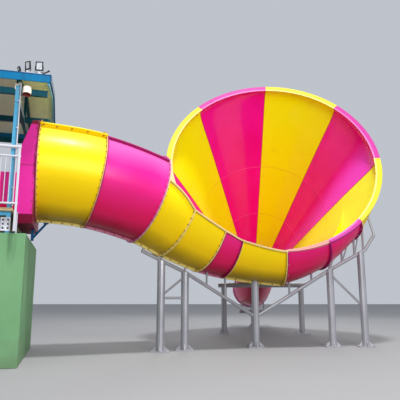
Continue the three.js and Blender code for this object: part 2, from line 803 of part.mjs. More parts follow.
// Roof: two slopes, a fascia along each eave and a barge board on each gable
const roofSlope = (edge, side) =>
  [
    [edge, eaveTop],
    [ridgeLine + side * seatGap, eaveTop + ridgeRise],
    [ridgeLine + side * seatGap, eaveTop + ridgeRise - roofThickness],
    [edge, eaveTop - roofThickness],
  ];
const roofEnds = [gableEnds.left, gableEnds.right];
addTowerPiece("roof_slope_front", platedAcross(roofSlope(roofEdge.front, -0.5), ...roofEnds), finish.roof);
addTowerPiece("roof_slope_rear", platedAcross(roofSlope(roofEdge.rear, 0.5), ...roofEnds), finish.roof);
const fasciaThickness = 25;
const fasciaBottom = eaveTop - 170;
const fascias = {
  fascia_front: [roofEdge.front - seatGap - fasciaThickness, roofEdge.front - seatGap],
  fascia_rear: [roofEdge.rear + seatGap, roofEdge.rear + seatGap + fasciaThickness],
};
Object.entries(fascias).forEach(([name, [front, rear]]) => {
  addTowerPiece(
    name,
    boxAt([gableEnds.left, front, fasciaBottom], [gableEnds.right, rear, eaveTop]),
    finish.blue,
  );
});
const bargeDepth = 150;
const bargeFront = roofEdge.front - seatGap - fasciaThickness;
const bargeRear = roofEdge.rear + seatGap + fasciaThickness;
const bargeOutline = [
  ...[bargeFront, ridgeLine, bargeRear].map((w) => [w, roofUnder(w) + roofThickness + 10]),
  ...[bargeRear, ridgeLine, bargeFront].map((w) => [w, roofUnder(w) + roofThickness + 10 - bargeDepth]),
];
const bargeThickness = 30;
addTowerPiece(
  "barge_board_right",
  platedAcross(
    bargeOutline,
    gableEnds.right + seatGap,
    gableEnds.right + seatGap + bargeThickness,
  ),
  finish.teal,
);
addTowerPiece(
  "barge_board_left",
  platedAcross(
    bargeOutline,
    gableEnds.left - seatGap - bargeThickness,
    gableEnds.left - seatGap,
  ),
  finish.teal,
);

// Guard railing round the deck, in one plane a side
const railRadius = 30;
const railOut = railRadius + seatGap;
const picket = { size: 16, pitch: 90 };
const postSize = 50;
function railing(length, stands) {
  const railBox = (low, high) => boxAt([0, -railRadius, low], [length, railRadius, high]);
  const pieces = [
    railBox(railTop, railTop + 60),
    railBox(railTop - 180, railTop - 130),
    railBox(deckTop + 60, deckTop + 100),
  ];
  const count = Math.round(length / picket.pitch);
  for (let i = 1; i < count; i += 1) {
    const t = (length * i) / count;
    const wide = picket.size / 2;
    pieces.push(boxAt([t - wide, -wide, deckTop + 90], [t + wide, wide, railTop - 170]));
  }
  stands.forEach((t) => {
    pieces.push(
      boxAt(
        [t - postSize / 2, -railRadius, deckBottom + seatGap],
        [t + postSize / 2, railRadius, railTop + 10],
      ),
    );
  });
  return fuse(pieces);
}
const sideways = (geometry, x, y, turn) => geometry.rotateZ(turn).translate(x, y, 0);
const railFront = deckEdge.front - railOut;
const railRear = deckEdge.rear + railOut;
const railLeft = deckEdge.left - railOut;
const railRight = deckEdge.right + railOut;
const across = deckEdge.right - deckEdge.left;
const acrossFront = across + 85;
const deep = deckEdge.rear - deckEdge.front;
addTowerPiece(
  "railing_front",
  sideways(railing(acrossFront, [30, across / 2, acrossFront - 30]), deckEdge.left, railFront, 0),
  finish.white,
);
const cornerPost = deckEdge.left + acrossFront - 30;
addTowerPiece(
  "railing_corner_foot",
  boxAt(
    [cornerPost - postSize / 2, railFront - railRadius, deckBottom - 390],
    [cornerPost + postSize / 2, railFront + railRadius, deckBottom],
  ),
  finish.white,
);
addTowerPiece(
  "railing_rear",
  sideways(railing(across, [30, across / 2, across - 30]), deckEdge.left, railRear, 0),
  finish.white,
);
addTowerPiece(
  "railing_left",
  sideways(railing(deep, [30, deep / 2, deep - 30]), railLeft, deckEdge.front, Math.PI / 2),
  finish.white,
);
const hoodHalf = 1050;
const rightGuard = deckEdge.rear - hoodHalf - 60;
addTowerPiece(
  "railing_right",
  sideways(railing(rightGuard, [30, rightGuard - 30]), railRight, hoodHalf + 60, Math.PI / 2),
  finish.white,
);

// Start tub on the deck, the hood over its end and the plate that carries the mouth of the tube
const tubRim = 3700;
const tubFloor = deckTop + seatGap;
const tubOutline = (out, floor) => [
  [-hoodHalf + out, tubRim],
  [-hoodHalf + out, tubFloor + 180],
  [-hoodHalf + 120 + out * 0.7, floor],
  [hoodHalf - 120 - out * 0.7, floor],
  [hoodHalf - out, tubFloor + 180],
  [hoodHalf - out, tubRim],
];
const tubStart = -2400;
const tubEnd = deckEdge.right + 3;
const tubThickness = 20;
addTowerPiece(
  "start_tub",
  platedAcross(
    [...tubOutline(0, tubFloor), ...tubOutline(tubThickness, tubFloor + tubThickness).reverse()],
    tubStart,
    tubEnd - seatGap,
  ),
  finish.pink,
);
addTowerPiece(
  "start_tub_end",
  platedAcross(
    tubOutline(0, tubFloor).map(([w, z]) => [w, Math.min(z, tubFloor + 350)]),
    tubStart - seatGap - tubThickness,
    tubStart - seatGap,
  ),
  finish.pink,
);
const hoodEnd = -100;
const hoodBottom = 2700;
const hoodShoulder = 4735;
const hoodSlant = { start: 4167, end: hoodShoulder + 30, reach: 205 };
const hoodHalfOutline = (inset) => [
  [-930, hoodBottom + inset],
  [-hoodHalf + inset, 2870],
  [-hoodHalf + inset, hoodSlant.start],
  [-hoodHalf + inset, hoodShoulder],
  [-930 + inset * 0.7, hoodShoulder + 115 - inset * 0.7],
  [-280 + inset * 0.3, 5090 - inset],
];
const hoodOutline = (inset) => {
  const half = hoodHalfOutline(inset);
  return [...half, ...half.map(([w, z]) => [-w, z]).reverse()];
};
const hoodEdge = (z) =>
  tubEnd +
  hoodSlant.reach *
    THREE.MathUtils.clamp((z - hoodSlant.start) / (hoodSlant.end - hoodSlant.start), 0, 1);
const hoodSkin = (inset, place) =>
  hoodOutline(inset).map(([w, z]) => new THREE.Vector3(place === undefined ? hoodEdge(z) : place, w, z));
addTowerPiece(
  "hood",
  wallBetween(
    [undefined, hoodEnd].map((place) => ({ outer: hoodSkin(0, place), inner: hoodSkin(20, place) })),
    true,
  ),
  finish.pink,
);
const mouth = new THREE.Vector3(...rings.mouth.at).sub(towerPlace).applyAxisAngle(at(0, 0, 1), -towerTurn);
const mouthDisc = (radius, from, to, sides = 32) =>
  new THREE.CylinderGeometry(radius, radius, to - from, sides)
    .rotateZ(Math.PI / 2)
    .translate((from + to) / 2, mouth.y, mouth.z);
addTowerPiece(
  "mouth_plate",
  trim(
    fuse([
      platedAcross(hoodOutline(0), hoodEnd + seatGap, hoodEnd + 15),
      mouthDisc(tubeRadius + flangeHeight, hoodEnd + 10, mouth.x - seatGap),
    ]),
    [toSolid(mouthDisc(tubeRadius - laminate, hoodEnd - 50, mouth.x + 50))],
  ),
  finish.pink,
);

// Post under the hood, with a bracket that reaches to a saddle plate under the tube
const hoodPost = { from: -165, to: -105, half: 30 };
const saddle = { t: 135, half: 50, wide: 60, bottom: 2825, top: 2845 };
addTowerPiece(
  "hood_post",
  fuse([
    boxAt(
      [hoodPost.from, -hoodPost.half, wallTop + seatGap],
      [hoodPost.to, hoodPost.half, hoodBottom - seatGap],
    ),
    barBetween(at(hoodPost.to - 20, 0, hoodBottom - 190), at(saddle.t, 0, saddle.bottom + 5), 25, 8),
    boxAt(
      [saddle.t - saddle.half, -saddle.wide, saddle.bottom],
      [saddle.t + saddle.half, saddle.wide, saddle.top],
    ),
  ]),
  finish.teal,
);

export default part;
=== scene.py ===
import math
import bpy
import bmesh
from mathutils import Matrix, Vector


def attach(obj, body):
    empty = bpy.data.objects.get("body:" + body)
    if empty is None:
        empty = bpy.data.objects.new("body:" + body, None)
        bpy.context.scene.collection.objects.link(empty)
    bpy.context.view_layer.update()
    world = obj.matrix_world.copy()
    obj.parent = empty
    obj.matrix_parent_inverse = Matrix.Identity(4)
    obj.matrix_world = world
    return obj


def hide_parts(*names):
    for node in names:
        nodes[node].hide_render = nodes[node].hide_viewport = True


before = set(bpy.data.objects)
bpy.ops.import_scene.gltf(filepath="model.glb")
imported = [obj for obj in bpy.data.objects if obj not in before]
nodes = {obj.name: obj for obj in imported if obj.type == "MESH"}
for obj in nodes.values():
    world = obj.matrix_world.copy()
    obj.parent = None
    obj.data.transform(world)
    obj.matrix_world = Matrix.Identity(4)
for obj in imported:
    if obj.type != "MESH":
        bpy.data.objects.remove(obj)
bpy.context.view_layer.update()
scene = bpy.context.scene
scene.view_settings.view_transform = "Standard"


# Small helpers for making and placing pieces

def deselect():
    bpy.ops.object.select_all(action="DESELECT")


def pick(obj):
    deselect()
    obj.select_set(True)
    bpy.context.view_layer.objects.active = obj


def settle(obj):
    pick(obj)
    bpy.ops.object.transform_apply(location=True, rotation=True, scale=True)
    return obj


def joinAll(pieces, name):
    deselect()
    for piece in pieces:
        piece.select_set(True)
    bpy.context.view_layer.objects.active = pieces[0]
    if len(pieces) > 1:
        bpy.ops.object.join()
    pieces[0].name = name
    pieces[0].data.name = name
    return pieces[0]


def copyTo(model, places):
    made = []
    for place in places:
        copy = model.copy()
        copy.data = model.data.copy()
        copy.data.transform(place)
        bpy.context.collection.objects.link(copy)
        made.append(copy)
    bpy.data.objects.remove(model)
    return made


def smoothEdges(obj, width, segments=2, sharpFrom=40):
    pick(obj)
    if width:
        bpy.ops.object.modifier_add(type="BEVEL")
        bevel = obj.modifiers[-1]
        bevel.width = width
        bevel.segments = segments
        bevel.limit_method = "ANGLE"
        bevel.angle_limit = math.radians(sharpFrom)
        bevel.use_clamp_overlap = True
        bpy.ops.object.modifier_apply(modifier=bevel.name)
    bpy.ops.object.shade_smooth_by_angle(angle=math.radians(sharpFrom))
    if width:
        # keeps the flat faces flat beside their rounded edges
        bpy.ops.object.modifier_add(type="WEIGHTED_NORMAL")
        weighted = obj.modifiers[-1]
        weighted.keep_sharp = True
        bpy.ops.object.modifier_apply(modifier=weighted.name)
    return obj


def handOver(obj, looks, replaced=()):
    if list(obj.data.materials) != list(looks):
        if obj.data.materials:
            obj.data.materials.clear()
        for look in looks:
            obj.data.materials.append(look)
    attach(obj, "root")
    if replaced:
        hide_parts(*replaced)
    return obj


deselect()
print("frame loaded:", len(nodes), "nodes")


# Materials

def newGroup(name, inputs, outputs):
    group = bpy.data.node_groups.new(name, "ShaderNodeTree")
    for label, kind, value in inputs:
        socket = group.interface.new_socket(label, in_out="INPUT", socket_type="NodeSocket" + kind)
        if value is not None:
            socket.default_value = value
    for label, kind in outputs:
        group.interface.new_socket(label, in_out="OUTPUT", socket_type="NodeSocket" + kind)
    return group


def addNode(tree, kind, **values):
    node = tree.nodes.new(kind if kind.startswith("NodeGroup") else "ShaderNode" + kind)
    for key, value in values.items():
        setattr(node, key, value)
    return node


def noise(tree, vector, scale, detail=3, stretch=None):
    if stretch:
        mapping = addNode(tree, "Mapping")
        mapping.inputs["Scale"].default_value = stretch
        tree.links.new(vector, mapping.inputs["Vector"])
        vector = mapping.outputs["Vector"]
    texture = addNode(tree, "TexNoise")
    texture.inputs["Scale"].default_value = scale
    texture.inputs["Detail"].default_value = detail
    tree.links.new(vector, texture.inputs["Vector"])
    return texture.outputs["Fac"]


def spread(tree, value, low, high, toLow=0.0, toHigh=1.0):
    node = addNode(tree, "MapRange", clamp=True)
    for label, number in (("From Min", low), ("From Max", high), ("To Min", toLow), ("To Max", toHigh)):
        node.inputs[label].default_value = number
    tree.links.new(value, node.inputs["Value"])
    return node.outputs["Result"]


def combine(tree, operation, first, second):
    node = addNode(tree, "Math", operation=operation)
    for socket, value in zip(node.inputs, (first, second)):
        if isinstance(value, (int, float)):
            socket.default_value = value
        else:
            tree.links.new(value, socket)
    return node.outputs[0]


def blendColours(tree, mask, first, second):
    node = addNode(tree, "Mix", data_type="RGBA")
    tree.links.new(mask, node.inputs[0])
    for socket, value in ((node.inputs[6], first), (node.inputs[7], second)):
        if isinstance(value, (tuple, list)):
            socket.default_value = (*value[:3], 1)
        else:
            tree.links.new(value, socket)
    return node.outputs[2]


# Outdoor wear: slow fading, dirt that runs down and fine speckle
weatherGroup = newGroup(
    "outdoorWear",
    [
        ("Place", "Vector", None),
        ("Colour", "Color", (0.8, 0.8, 0.8, 1)),
        ("Faded", "Color", (0.9, 0.9, 0.9, 1)),
        ("Dirt", "Color", (0.1, 0.08, 0.06, 1)),
        ("Fading", "Float", 0.3),
        ("Running dirt", "Float", 0.3),
        ("Speckle", "Float", 0.1),
    ],
    [("Colour", "Color"), ("Dirt mask", "Float"), ("Waves", "Float")],
)


def fillWeather(tree):
    source = addNode(tree, "NodeGroupInput").outputs
    sink = addNode(tree, "NodeGroupOutput").inputs
    place = source["Place"]
    fading = combine(tree, "MULTIPLY", spread(tree, noise(tree, place, 0.9, 4), 0.35, 0.7), source["Fading"])
    faded = blendColours(tree, fading, source["Colour"], source["Faded"])
    runs = spread(tree, noise(tree, place, 5.0, 5, (1, 1, 0.12)), 0.56, 0.78)
    patches = spread(tree, noise(tree, place, 0.6, 3), 0.42, 0.62)
    dirt = combine(tree, "MULTIPLY", combine(tree, "MULTIPLY", runs, patches), source["Running dirt"])
    dirty = blendColours(tree, dirt, faded, source["Dirt"])
    grain = combine(tree, "MULTIPLY", spread(tree, noise(tree, place, 90.0, 2), 0.45, 0.8), source["Speckle"])
    speckled = blendColours(tree, grain, dirty, source["Dirt"])
    tree.links.new(speckled, sink["Colour"])
    tree.links.new(dirt, sink["Dirt mask"])
    tree.links.new(noise(tree, place, 1.7, 2), sink["Waves"])


fillWeather(weatherGroup)


def newMaterial(name, roughness, metallic=0.0, coat=0.0, coatRoughness=0.03, specular=0.5):
    material = bpy.data.materials.new(name)
    material.use_nodes = True
    tree = material.node_tree
    shader = tree.nodes["Principled BSDF"]
    shader.inputs["Roughness"].default_value = roughness
    shader.inputs["Metallic"].default_value = metallic
    shader.inputs["Coat Weight"].default_value = coat
    shader.inputs["Coat Roughness"].default_value = coatRoughness
    shader.inputs["Specular IOR Level"].default_value = specular
    place = addNode(tree, "TexCoord").outputs["Object"]
    return material, tree, shader, place


def weathered(tree, shader, place, colour, faded, dirt, fading, running, speckle):
    wear = addNode(tree, "Group", node_tree=weatherGroup)
    tree.links.new(place, wear.inputs["Place"])
    for label, value in (("Colour", colour), ("Faded", faded), ("Dirt", dirt)):
        wear.inputs[label].default_value = (*value, 1)
    for label, value in (("Fading", fading), ("Running dirt", running), ("Speckle", speckle)):
        wear.inputs[label].default_value = value
    tree.links.new(wear.outputs["Colour"], shader.inputs["Base Color"])
    return wear


def addBump(tree, shader, height, strength, distance):
    bump = addNode(tree, "Bump")
    bump.inputs["Strength"].default_value = strength
    bump.inputs["Distance"].default_value = distance
    tree.links.new(height, bump.inputs["Height"])
    tree.links.new(bump.outputs["Normal"], shader.inputs["Normal"])


# Gelcoat: glossy, a little wavy, faded by the sun and with water marks
gelcoats = {
    "pinkGelcoat": ((0.74, 0.012, 0.25), (0.82, 0.04, 0.34), (0.24, 0.01, 0.06)),
    "innerPink": ((0.80, 0.002, 0.27), (0.88, 0.01, 0.38), (0.30, 0.004, 0.10)),
    "hoodPink": ((0.62, 0.003, 0.24), (0.72, 0.01, 0.32), (0.26, 0.004, 0.10)),
    # dark pink, painted shade for the hood's sloping faces, the mouth plate and the hood lap
    "paintedShadePink": ((0.24, 0.003, 0.04), (0.34, 0.01, 0.08), (0.10, 0.005, 0.02)),
    "yellowGelcoat": ((0.88, 0.67, 0.001), (0.94, 0.74, 0.01), (0.46, 0.28, 0.004)),
    "innerYellow": ((0.86, 0.87, 0.001), (0.92, 0.92, 0.01), (0.60, 0.46, 0.004)),
    "boltRed": ((0.22, 0.03, 0.03), (0.34, 0.08, 0.06), (0.08, 0.02, 0.02)),
    "jointLine": ((0.45, 0.05, 0.004), (0.60, 0.10, 0.01), (0.16, 0.02, 0.004)),
    # paler seams inside the funnel, a painted reflection along the panel joints
    "pinkSeamHighlight": ((0.84, 0.03, 0.36), (0.90, 0.08, 0.44), (0.40, 0.03, 0.14)),
    "yellowSeamHighlight": ((0.78, 0.66, 0.002), (0.84, 0.72, 0.01), (0.40, 0.26, 0.01)),
    "pinkLip": ((0.46, 0.02, 0.24), (0.56, 0.06, 0.32), (0.30, 0.04, 0.12)),
    # paler lip beads, a painted highlight along the lip's inner edge
    "pinkLipHighlight": ((0.66, 0.13, 0.40), (0.76, 0.24, 0.50), (0.36, 0.07, 0.16)),
    "yellowLipHighlight": ((0.80, 0.74, 0.16), (0.86, 0.80, 0.26), (0.50, 0.38, 0.10)),
    "peachLip": ((0.62, 0.25, 0.22), (0.72, 0.38, 0.32), (0.44, 0.20, 0.12)),
    "yellowLip": ((0.62, 0.53, 0.015), (0.70, 0.62, 0.05), (0.46, 0.32, 0.04)),
    "creamLip": ((0.70, 0.50, 0.20), (0.78, 0.62, 0.32), (0.34, 0.18, 0.08)),
    "creamFlange": ((0.74, 0.42, 0.13), (0.84, 0.56, 0.26), (0.30, 0.12, 0.06)),
    "lilacFlange": ((0.62, 0.20, 0.42), (0.72, 0.36, 0.52), (0.28, 0.05, 0.12)),
    # dark pink, painted shade on the pink tube's and flume's flanges and on the pink ribs
    "shadePinkFlange": ((0.32, 0.003, 0.11), (0.42, 0.02, 0.17), (0.14, 0.01, 0.04)),
    "dustyPinkFlange": ((0.52, 0.14, 0.24), (0.62, 0.26, 0.36), (0.26, 0.05, 0.08)),
    "paleYellowFlange": ((0.76, 0.60, 0.14), (0.84, 0.72, 0.28), (0.38, 0.22, 0.03)),
}

# Painted light and shade on the outer gelcoat: faces that look up get a paler painted highlight, those that
# look down a deeper painted shade, and the very bottom a dull painted shade.
paintedLightAndShade = {
    "pinkGelcoat": ((0.76, 0.21, 0.56), (0.68, 0.003, 0.07), (0.28, 0.001, 0.01)),
    "yellowGelcoat": ((0.70, 0.68, 0.06), (0.88, 0.55, 0.001), (0.30, 0.18, 0.001)),
}
# A painted patch of sunlight: the side of the funnel's inside that faces the sun is drawn paler
paintedSunPatch = {
    "innerPink": (0.84, 0.08, 0.72),
    "innerYellow": (0.86, 0.97, 0.07),
}
sunward = (-0.94, -0.22, 0.25)
# Between which turns of a face each painted highlight and shade comes in, and how strong it gets
tintRanges = {
    "above": (0.2, 0.95, 0.0, 0.7),
    "below": (0.12, -0.65, 0.0, 0.9),
    "underside": (-0.74, -0.98, 0.0, 0.85),
    "sunward": (0.89, 0.96, 0.0, 0.9),
}
# Coat weight, coat roughness, roughness and tint of the reflection
shinyGels = {
    "pinkGelcoat": (0.18, 0.22, 0.30, (1.0, 0.5, 0.75)),
    "yellowGelcoat": (0.12, 0.25, 0.34, (1.0, 0.88, 0.25)),
    "innerPink": (0.40, 0.08, 0.22, (1.0, 0.5, 0.8)),
    "innerYellow": (0.30, 0.10, 0.24, (1.0, 0.88, 0.25)),
}
dullGel = (0.0, 0.3, 0.48, (1.0, 1.0, 1.0))


def gelcoat(name, colour, faded, dirt):
    coat, coatRough, base, shine = shinyGels.get(name, dullGel)
    material, tree, shader, place = newMaterial(name, base, coat=coat, coatRoughness=coatRough, specular=0.25)
    shader.inputs["Specular Tint"].default_value = (*shine, 1)
    wear = weathered(tree, shader, place, colour, faded, dirt, 0.45, 0.28, 0.03)
    # painted highlight on the faces that look up and painted shade on those that look down
    if name in paintedLightAndShade:
        above, below, underside = paintedLightAndShade[name]
        apart = addNode(tree, "SeparateXYZ")
        tree.links.new(addNode(tree, "NewGeometry").outputs["Normal"], apart.inputs[0])
        uneven = spread(tree, noise(tree, place, 1.1, 4), 0.3, 0.7, -0.05, 0.05)
        facing = combine(tree, "ADD", apart.outputs["Z"], uneven)
        colour = wear.outputs["Colour"]
        for tintName, tintColour in (("above", above), ("below", below), ("underside", underside)):
            colour = blendColours(tree, spread(tree, facing, *tintRanges[tintName]), colour, tintColour)
        tree.links.new(colour, shader.inputs["Base Color"])
    # painted sunlit patch, paler, on the inside faces that turn towards the sun
    if name in paintedSunPatch:
        facing = addNode(tree, "VectorMath", operation="DOT_PRODUCT")
        tree.links.new(addNode(tree, "NewGeometry").outputs["Normal"], facing.inputs[0])
        facing.inputs[1].default_value = sunward
        mask = spread(tree, facing.outputs["Value"], *tintRanges["sunward"])
        colour = blendColours(tree, mask, wear.outputs["Colour"], paintedSunPatch[name])
        tree.links.new(colour, shader.inputs["Base Color"])
    marks = spread(tree, noise(tree, place, 26.0, 4), 0.5, 0.75, 0.0, 0.12)
    runs = combine(tree, "MULTIPLY", wear.outputs["Dirt mask"], 0.5)
    rough = combine(tree, "ADD", combine(tree, "ADD", marks, runs), base)
    tree.links.new(rough, shader.inputs["Roughness"])
    addBump(tree, shader, wear.outputs["Waves"], 0.2, 0.012)
    return material


gels = {name: gelcoat(name, *colours) for name, colours in gelcoats.items()}
pink = gels["pinkGelcoat"]

# Satin paints on steel
paints = {
    "skyBluePaint": ((0.08, 0.36, 0.58), (0.16, 0.48, 0.68), (0.05, 0.10, 0.12)),
    # a darker copy of the sky-blue paint for the fascia, painted shade
    "shadedFasciaPaint": ((0.002, 0.14, 0.31), (0.006, 0.20, 0.40), (0.01, 0.05, 0.08)),
    "darkBluePaint": ((0.002, 0.06, 0.17), (0.01, 0.11, 0.25), (0.01, 0.03, 0.05)),
    "tealPaint": ((0.002, 0.06, 0.09), (0.01, 0.11, 0.14), (0.005, 0.02, 0.025)),
    "whitePaint": ((0.55, 0.56, 0.62), (0.66, 0.66, 0.70), (0.20, 0.16, 0.12)),
    # roof paint lightened for the underside, painted light, and a darker copy for the faces that look up,
    # painted shade
    "roofPaint": ((0.80, 0.90, 0.70), (0.84, 0.92, 0.76), (0.34, 0.36, 0.24)),
    "roofTopShadePaint": ((0.40, 0.45, 0.36), (0.50, 0.54, 0.46), (0.12, 0.12, 0.09)),
    "creamPaint": ((0.80, 0.74, 0.58), (0.88, 0.84, 0.72), (0.30, 0.22, 0.12)),
    "blackPaint": ((0.02, 0.02, 0.022), (0.05, 0.05, 0.055), (0.10, 0.09, 0.08)),
}


def paint(name, colour, faded, dirt):
    material, tree, shader, place = newMaterial(name, 0.42, specular=0.12)
    wear = weathered(tree, shader, place, colour, faded, dirt, 0.5, 0.5, 0.1)
    uneven = spread(tree, noise(tree, place, 14.0, 3), 0.3, 0.7, 0.32, 0.5)
    rough = combine(tree, "ADD", uneven, wear.outputs["Dirt mask"])
    tree.links.new(rough, shader.inputs["Roughness"])
    addBump(tree, shader, noise(tree, place, 45.0, 3), 0.12, 0.002)
    return material


coats = {name: paint(name, *colours) for name, colours in paints.items()}


# Panel of a floodlight: rows of pale diodes behind its glass
def lampPanel():
    material, tree, shader, place = newMaterial("lampPanel", 0.15, coat=0.6, coatRoughness=0.04)
    cells = addNode(tree, "TexVoronoi", distance="CHEBYCHEV")
    cells.inputs["Scale"].default_value = 70.0
    cells.inputs["Randomness"].default_value = 0.0
    tree.links.new(place, cells.inputs["Vector"])
    mask = spread(tree, cells.outputs["Distance"], 0.2, 0.36)
    colour = blendColours(tree, mask, (0.92, 0.90, 0.78), (0.50, 0.53, 0.58))
    tree.links.new(colour, shader.inputs["Base Color"])
    addBump(tree, shader, mask, 0.2, 0.001)
    return material


lampLook = lampPanel()


# Hot-dip zinc: spangle cells, dull patches and a few brown runs
def zinc():
    material, tree, shader, place = newMaterial("hotDipZinc", 0.42, metallic=0.55)
    cells = addNode(tree, "TexVoronoi")
    cells.inputs["Scale"].default_value = 34.0
    tree.links.new(place, cells.inputs["Vector"])
    grey, faded, dirt = (0.34, 0.34, 0.37), (0.50, 0.49, 0.53), (0.14, 0.10, 0.07)
    weathered(tree, shader, place, grey, faded, dirt, 0.8, 0.45, 0.12)
    bright = spread(tree, cells.outputs["Color"], 0.0, 1.0, 0.34, 0.56)
    tree.links.new(bright, shader.inputs["Roughness"])
    addBump(tree, shader, cells.outputs["Distance"], 0.08, 0.003)
    return material


# Painted render on the masonry base, rough and stained towards the ground
def render():
    material, tree, shader, place = newMaterial("greenRender", 0.85, specular=0.25)
    green, faded, dirt = (0.145, 0.32, 0.15), (0.21, 0.41, 0.21), (0.05, 0.09, 0.04)
    wear = weathered(tree, shader, place, green, faded, dirt, 0.7, 0.6, 0.2)
    apart = addNode(tree, "SeparateXYZ")
    tree.links.new(place, apart.inputs[0])
    height = combine(tree, "ADD", apart.outputs["Z"], noise(tree, place, 2.5, 5))
    low = spread(tree, height, 0.4, 1.1, 0.55, 0.0)
    colour = blendColours(tree, low, wear.outputs["Colour"], (0.10, 0.13, 0.07))
    tree.links.new(colour, shader.inputs["Base Color"])
    addBump(tree, shader, noise(tree, place, 70.0, 5), 0.5, 0.004)
    return material


# Boards with grain along the deck
def boards():
    material, tree, shader, place = newMaterial("deckBoards", 0.7, specular=0.3)
    tan, faded, dirt = (0.60, 0.42, 0.20), (0.70, 0.56, 0.34), (0.20, 0.13, 0.07)
    wear = weathered(tree, shader, place, tan, faded, dirt, 0.8, 0.2, 0.25)
    grain = noise(tree, place, 30.0, 5, (0.12, 2.2, 2.2))
    mask = spread(tree, grain, 0.4, 0.75, 0.0, 0.4)
    colour = blendColours(tree, mask, wear.outputs["Colour"], (0.30, 0.24, 0.13))
    tree.links.new(colour, shader.inputs["Base Color"])
    addBump(tree, shader, grain, 0.3, 0.003)
    return material


zincLook, renderLook, boardLook = zinc(), render(), boards()
print("materials made")


# The slide's measures in metres and degrees, the same as the solids have
slide = {
    "laminate": 0.015,
    "tubeRadius": 1.08,
    "tubeSides": 96,
    "tubeSteps": 28,
    "flumeSides": 60,
    "flumeSteps": 16,
    "flangeHeight": 0.06,
    "flangeThickness": 0.017,
    "flangeGap": 0.002,
    "ribWidth": 0.05,
    "ribHeight": 0.06,
    "ribGap": 0.003,
    "sunk": 0.004,
    "seamAngle": 41,
    "upperSeam": 0.1,
    "lowerSeam": 0.06,
    "lipThickness": 0.032,
}
funnel = {
    "centre": Vector((2.41, 1.1, 5.06)),
    "tilt": math.radians(25),
    "turn": math.radians(-1.5),
    "lipRadius": 2.998,
    "rimBow": (0.19, 0.9, 0.33, 0.22),
    "apexDepth": 8.38,
    "depth": 6.35,
    "slope": 2.86 / 8.1,
    "footAngle": 182.7,
    "bulgeRadius": 2.26,
    "bulgeDepth": 0.82,
    "bulgeEnd": 262,
    "bulgeTurn": 176,
    "bulgeSteps": 30,
    "stripeEnds": [0, 45, 90, 135, 182.7, 225, 270, 315, 360],
    "panelJoints": [2.75, 4.65],
    "seamWidth": 0.03,
    "grooveDepth": 0.005,
    "beadWidth": 0.045,
    "bulgeSeam": 204,
    "stripeSteps": 14,
}
towerTurn = math.radians(15)
towerPlace = Vector((-3.13, -1.6, 0))
towerMatrix = Matrix.Translation(towerPlace) @ Matrix.Rotation(towerTurn, 4, "Z")
towerAlong = Vector((math.cos(towerTurn), math.sin(towerTurn), 0))
towerFront = Vector((math.sin(towerTurn), -math.cos(towerTurn), 0))


def clamp(value, low, high):
    return max(low, min(high, value))


def mix(low, high, share):
    return low + (high - low) * share


def ease(value, low, high):
    x = clamp((value - low) / (high - low), 0, 1)
    return x * x * (3 - 2 * x)


def slidePoint(x, y, z):
    return Vector((x - 0.05, y + 1.4, z))


forward = Vector((
    math.sin(funnel["turn"]) * math.cos(funnel["tilt"]),
    -math.cos(funnel["turn"]) * math.cos(funnel["tilt"]),
    math.sin(funnel["tilt"]),
))
rimLeft = Vector((-math.cos(funnel["turn"]), -math.sin(funnel["turn"]), 0))
rimUp = rimLeft.cross(forward)


def radial(angle):
    turn = math.radians(angle)
    return rimUp * math.cos(turn) + rimLeft * math.sin(turn)


def funnelPoint(depth, radius, angle):
    return funnel["centre"] - forward * depth + radial(angle) * radius


def coneRadius(depth):
    out, outLength, back, backLength = funnel["rimBow"]
    bow = out * math.exp(-depth / outLength) - back * math.exp(-depth / backLength)
    return funnel["slope"] * (funnel["apexDepth"] - depth) + bow


def bulgeShare(angle):
    foot = funnel["footAngle"]
    return (1 - clamp((angle - foot) / (funnel["bulgeEnd"] - foot), 0, 1)) ** 1.25


# Centre line of the tube and the flume, a centripetal curve through its rings. A place on it
# counts the rings: 1 at the mouth, 2 and 3 at the ends of the tubes, 7 at the foot of the funnel.
rings = [(-3.148, -3.018, 4.0), (-2.06, -2.58, 3.91), (-0.87, -1.95, 3.59),
         (-0.21, -1.55, 3.28), (0.62, -1.11, 2.96), (1.15, -0.89, 2.84)]
flumeEdges = [(76, 44), (94, 46), (100, 60), (104, 80), (107, 115)]
pathPoints = [slidePoint(-4.2, -3.3, 4.03)] + [slidePoint(*ring) for ring in rings]
for turn in (0, 8):
    pathPoints.append(funnelPoint(funnel["bulgeDepth"], funnel["bulgeRadius"], funnel["footAngle"] + turn))


def pathAt(place):
    last = len(pathPoints) - 1
    i = int(clamp(math.floor(place), 0, last - 1))
    share = place - i
    before = pathPoints[i - 1] if i > 0 else pathPoints[0] * 2 - pathPoints[1]
    after = pathPoints[i + 2] if i + 2 <= last else pathPoints[last] * 2 - pathPoints[last - 1]
    start, end = pathPoints[i], pathPoints[i + 1]
    one, two, three = [(b - a).length ** 0.5 for a, b in ((before, start), (start, end), (end, after))]
    tangentIn = ((start - before) / one - (end - before) / (one + two) + (end - start) / two) * two
    tangentOut = ((end - start) / two - (after - start) / (two + three) + (after - end) / three) * two
    square = (end - start) * 3 - tangentIn * 2 - tangentOut
    cube = (start - end) * 2 + tangentIn + tangentOut
    return start + tangentIn * share + square * share ** 2 + cube * share ** 3


def sectionAt(place):
    small = 0.0008
    centre = pathAt(place)
    along = (pathAt(place + small) - pathAt(place - small)).normalized()
    meridian = radial(funnel["footAngle"]).cross(forward).normalized()
    if along.dot(meridian) < 0:
        meridian.negate()
    along = along.lerp(towerAlong, 1 - ease(place, 1, 2))
    along = along.lerp(meridian, ease(place, 6, 7)).normalized()
    up = (Vector((0, 0, 1)) - along * along.z).normalized()
    near = along.cross(up)
    if near.y > 0:
        near.negate()
    return centre, up, near, along


def sectionPoint(section, radius, angle):
    turn = math.radians(angle)
    return section[0] + section[1] * (radius * math.cos(turn)) + section[2] * (radius * math.sin(turn))


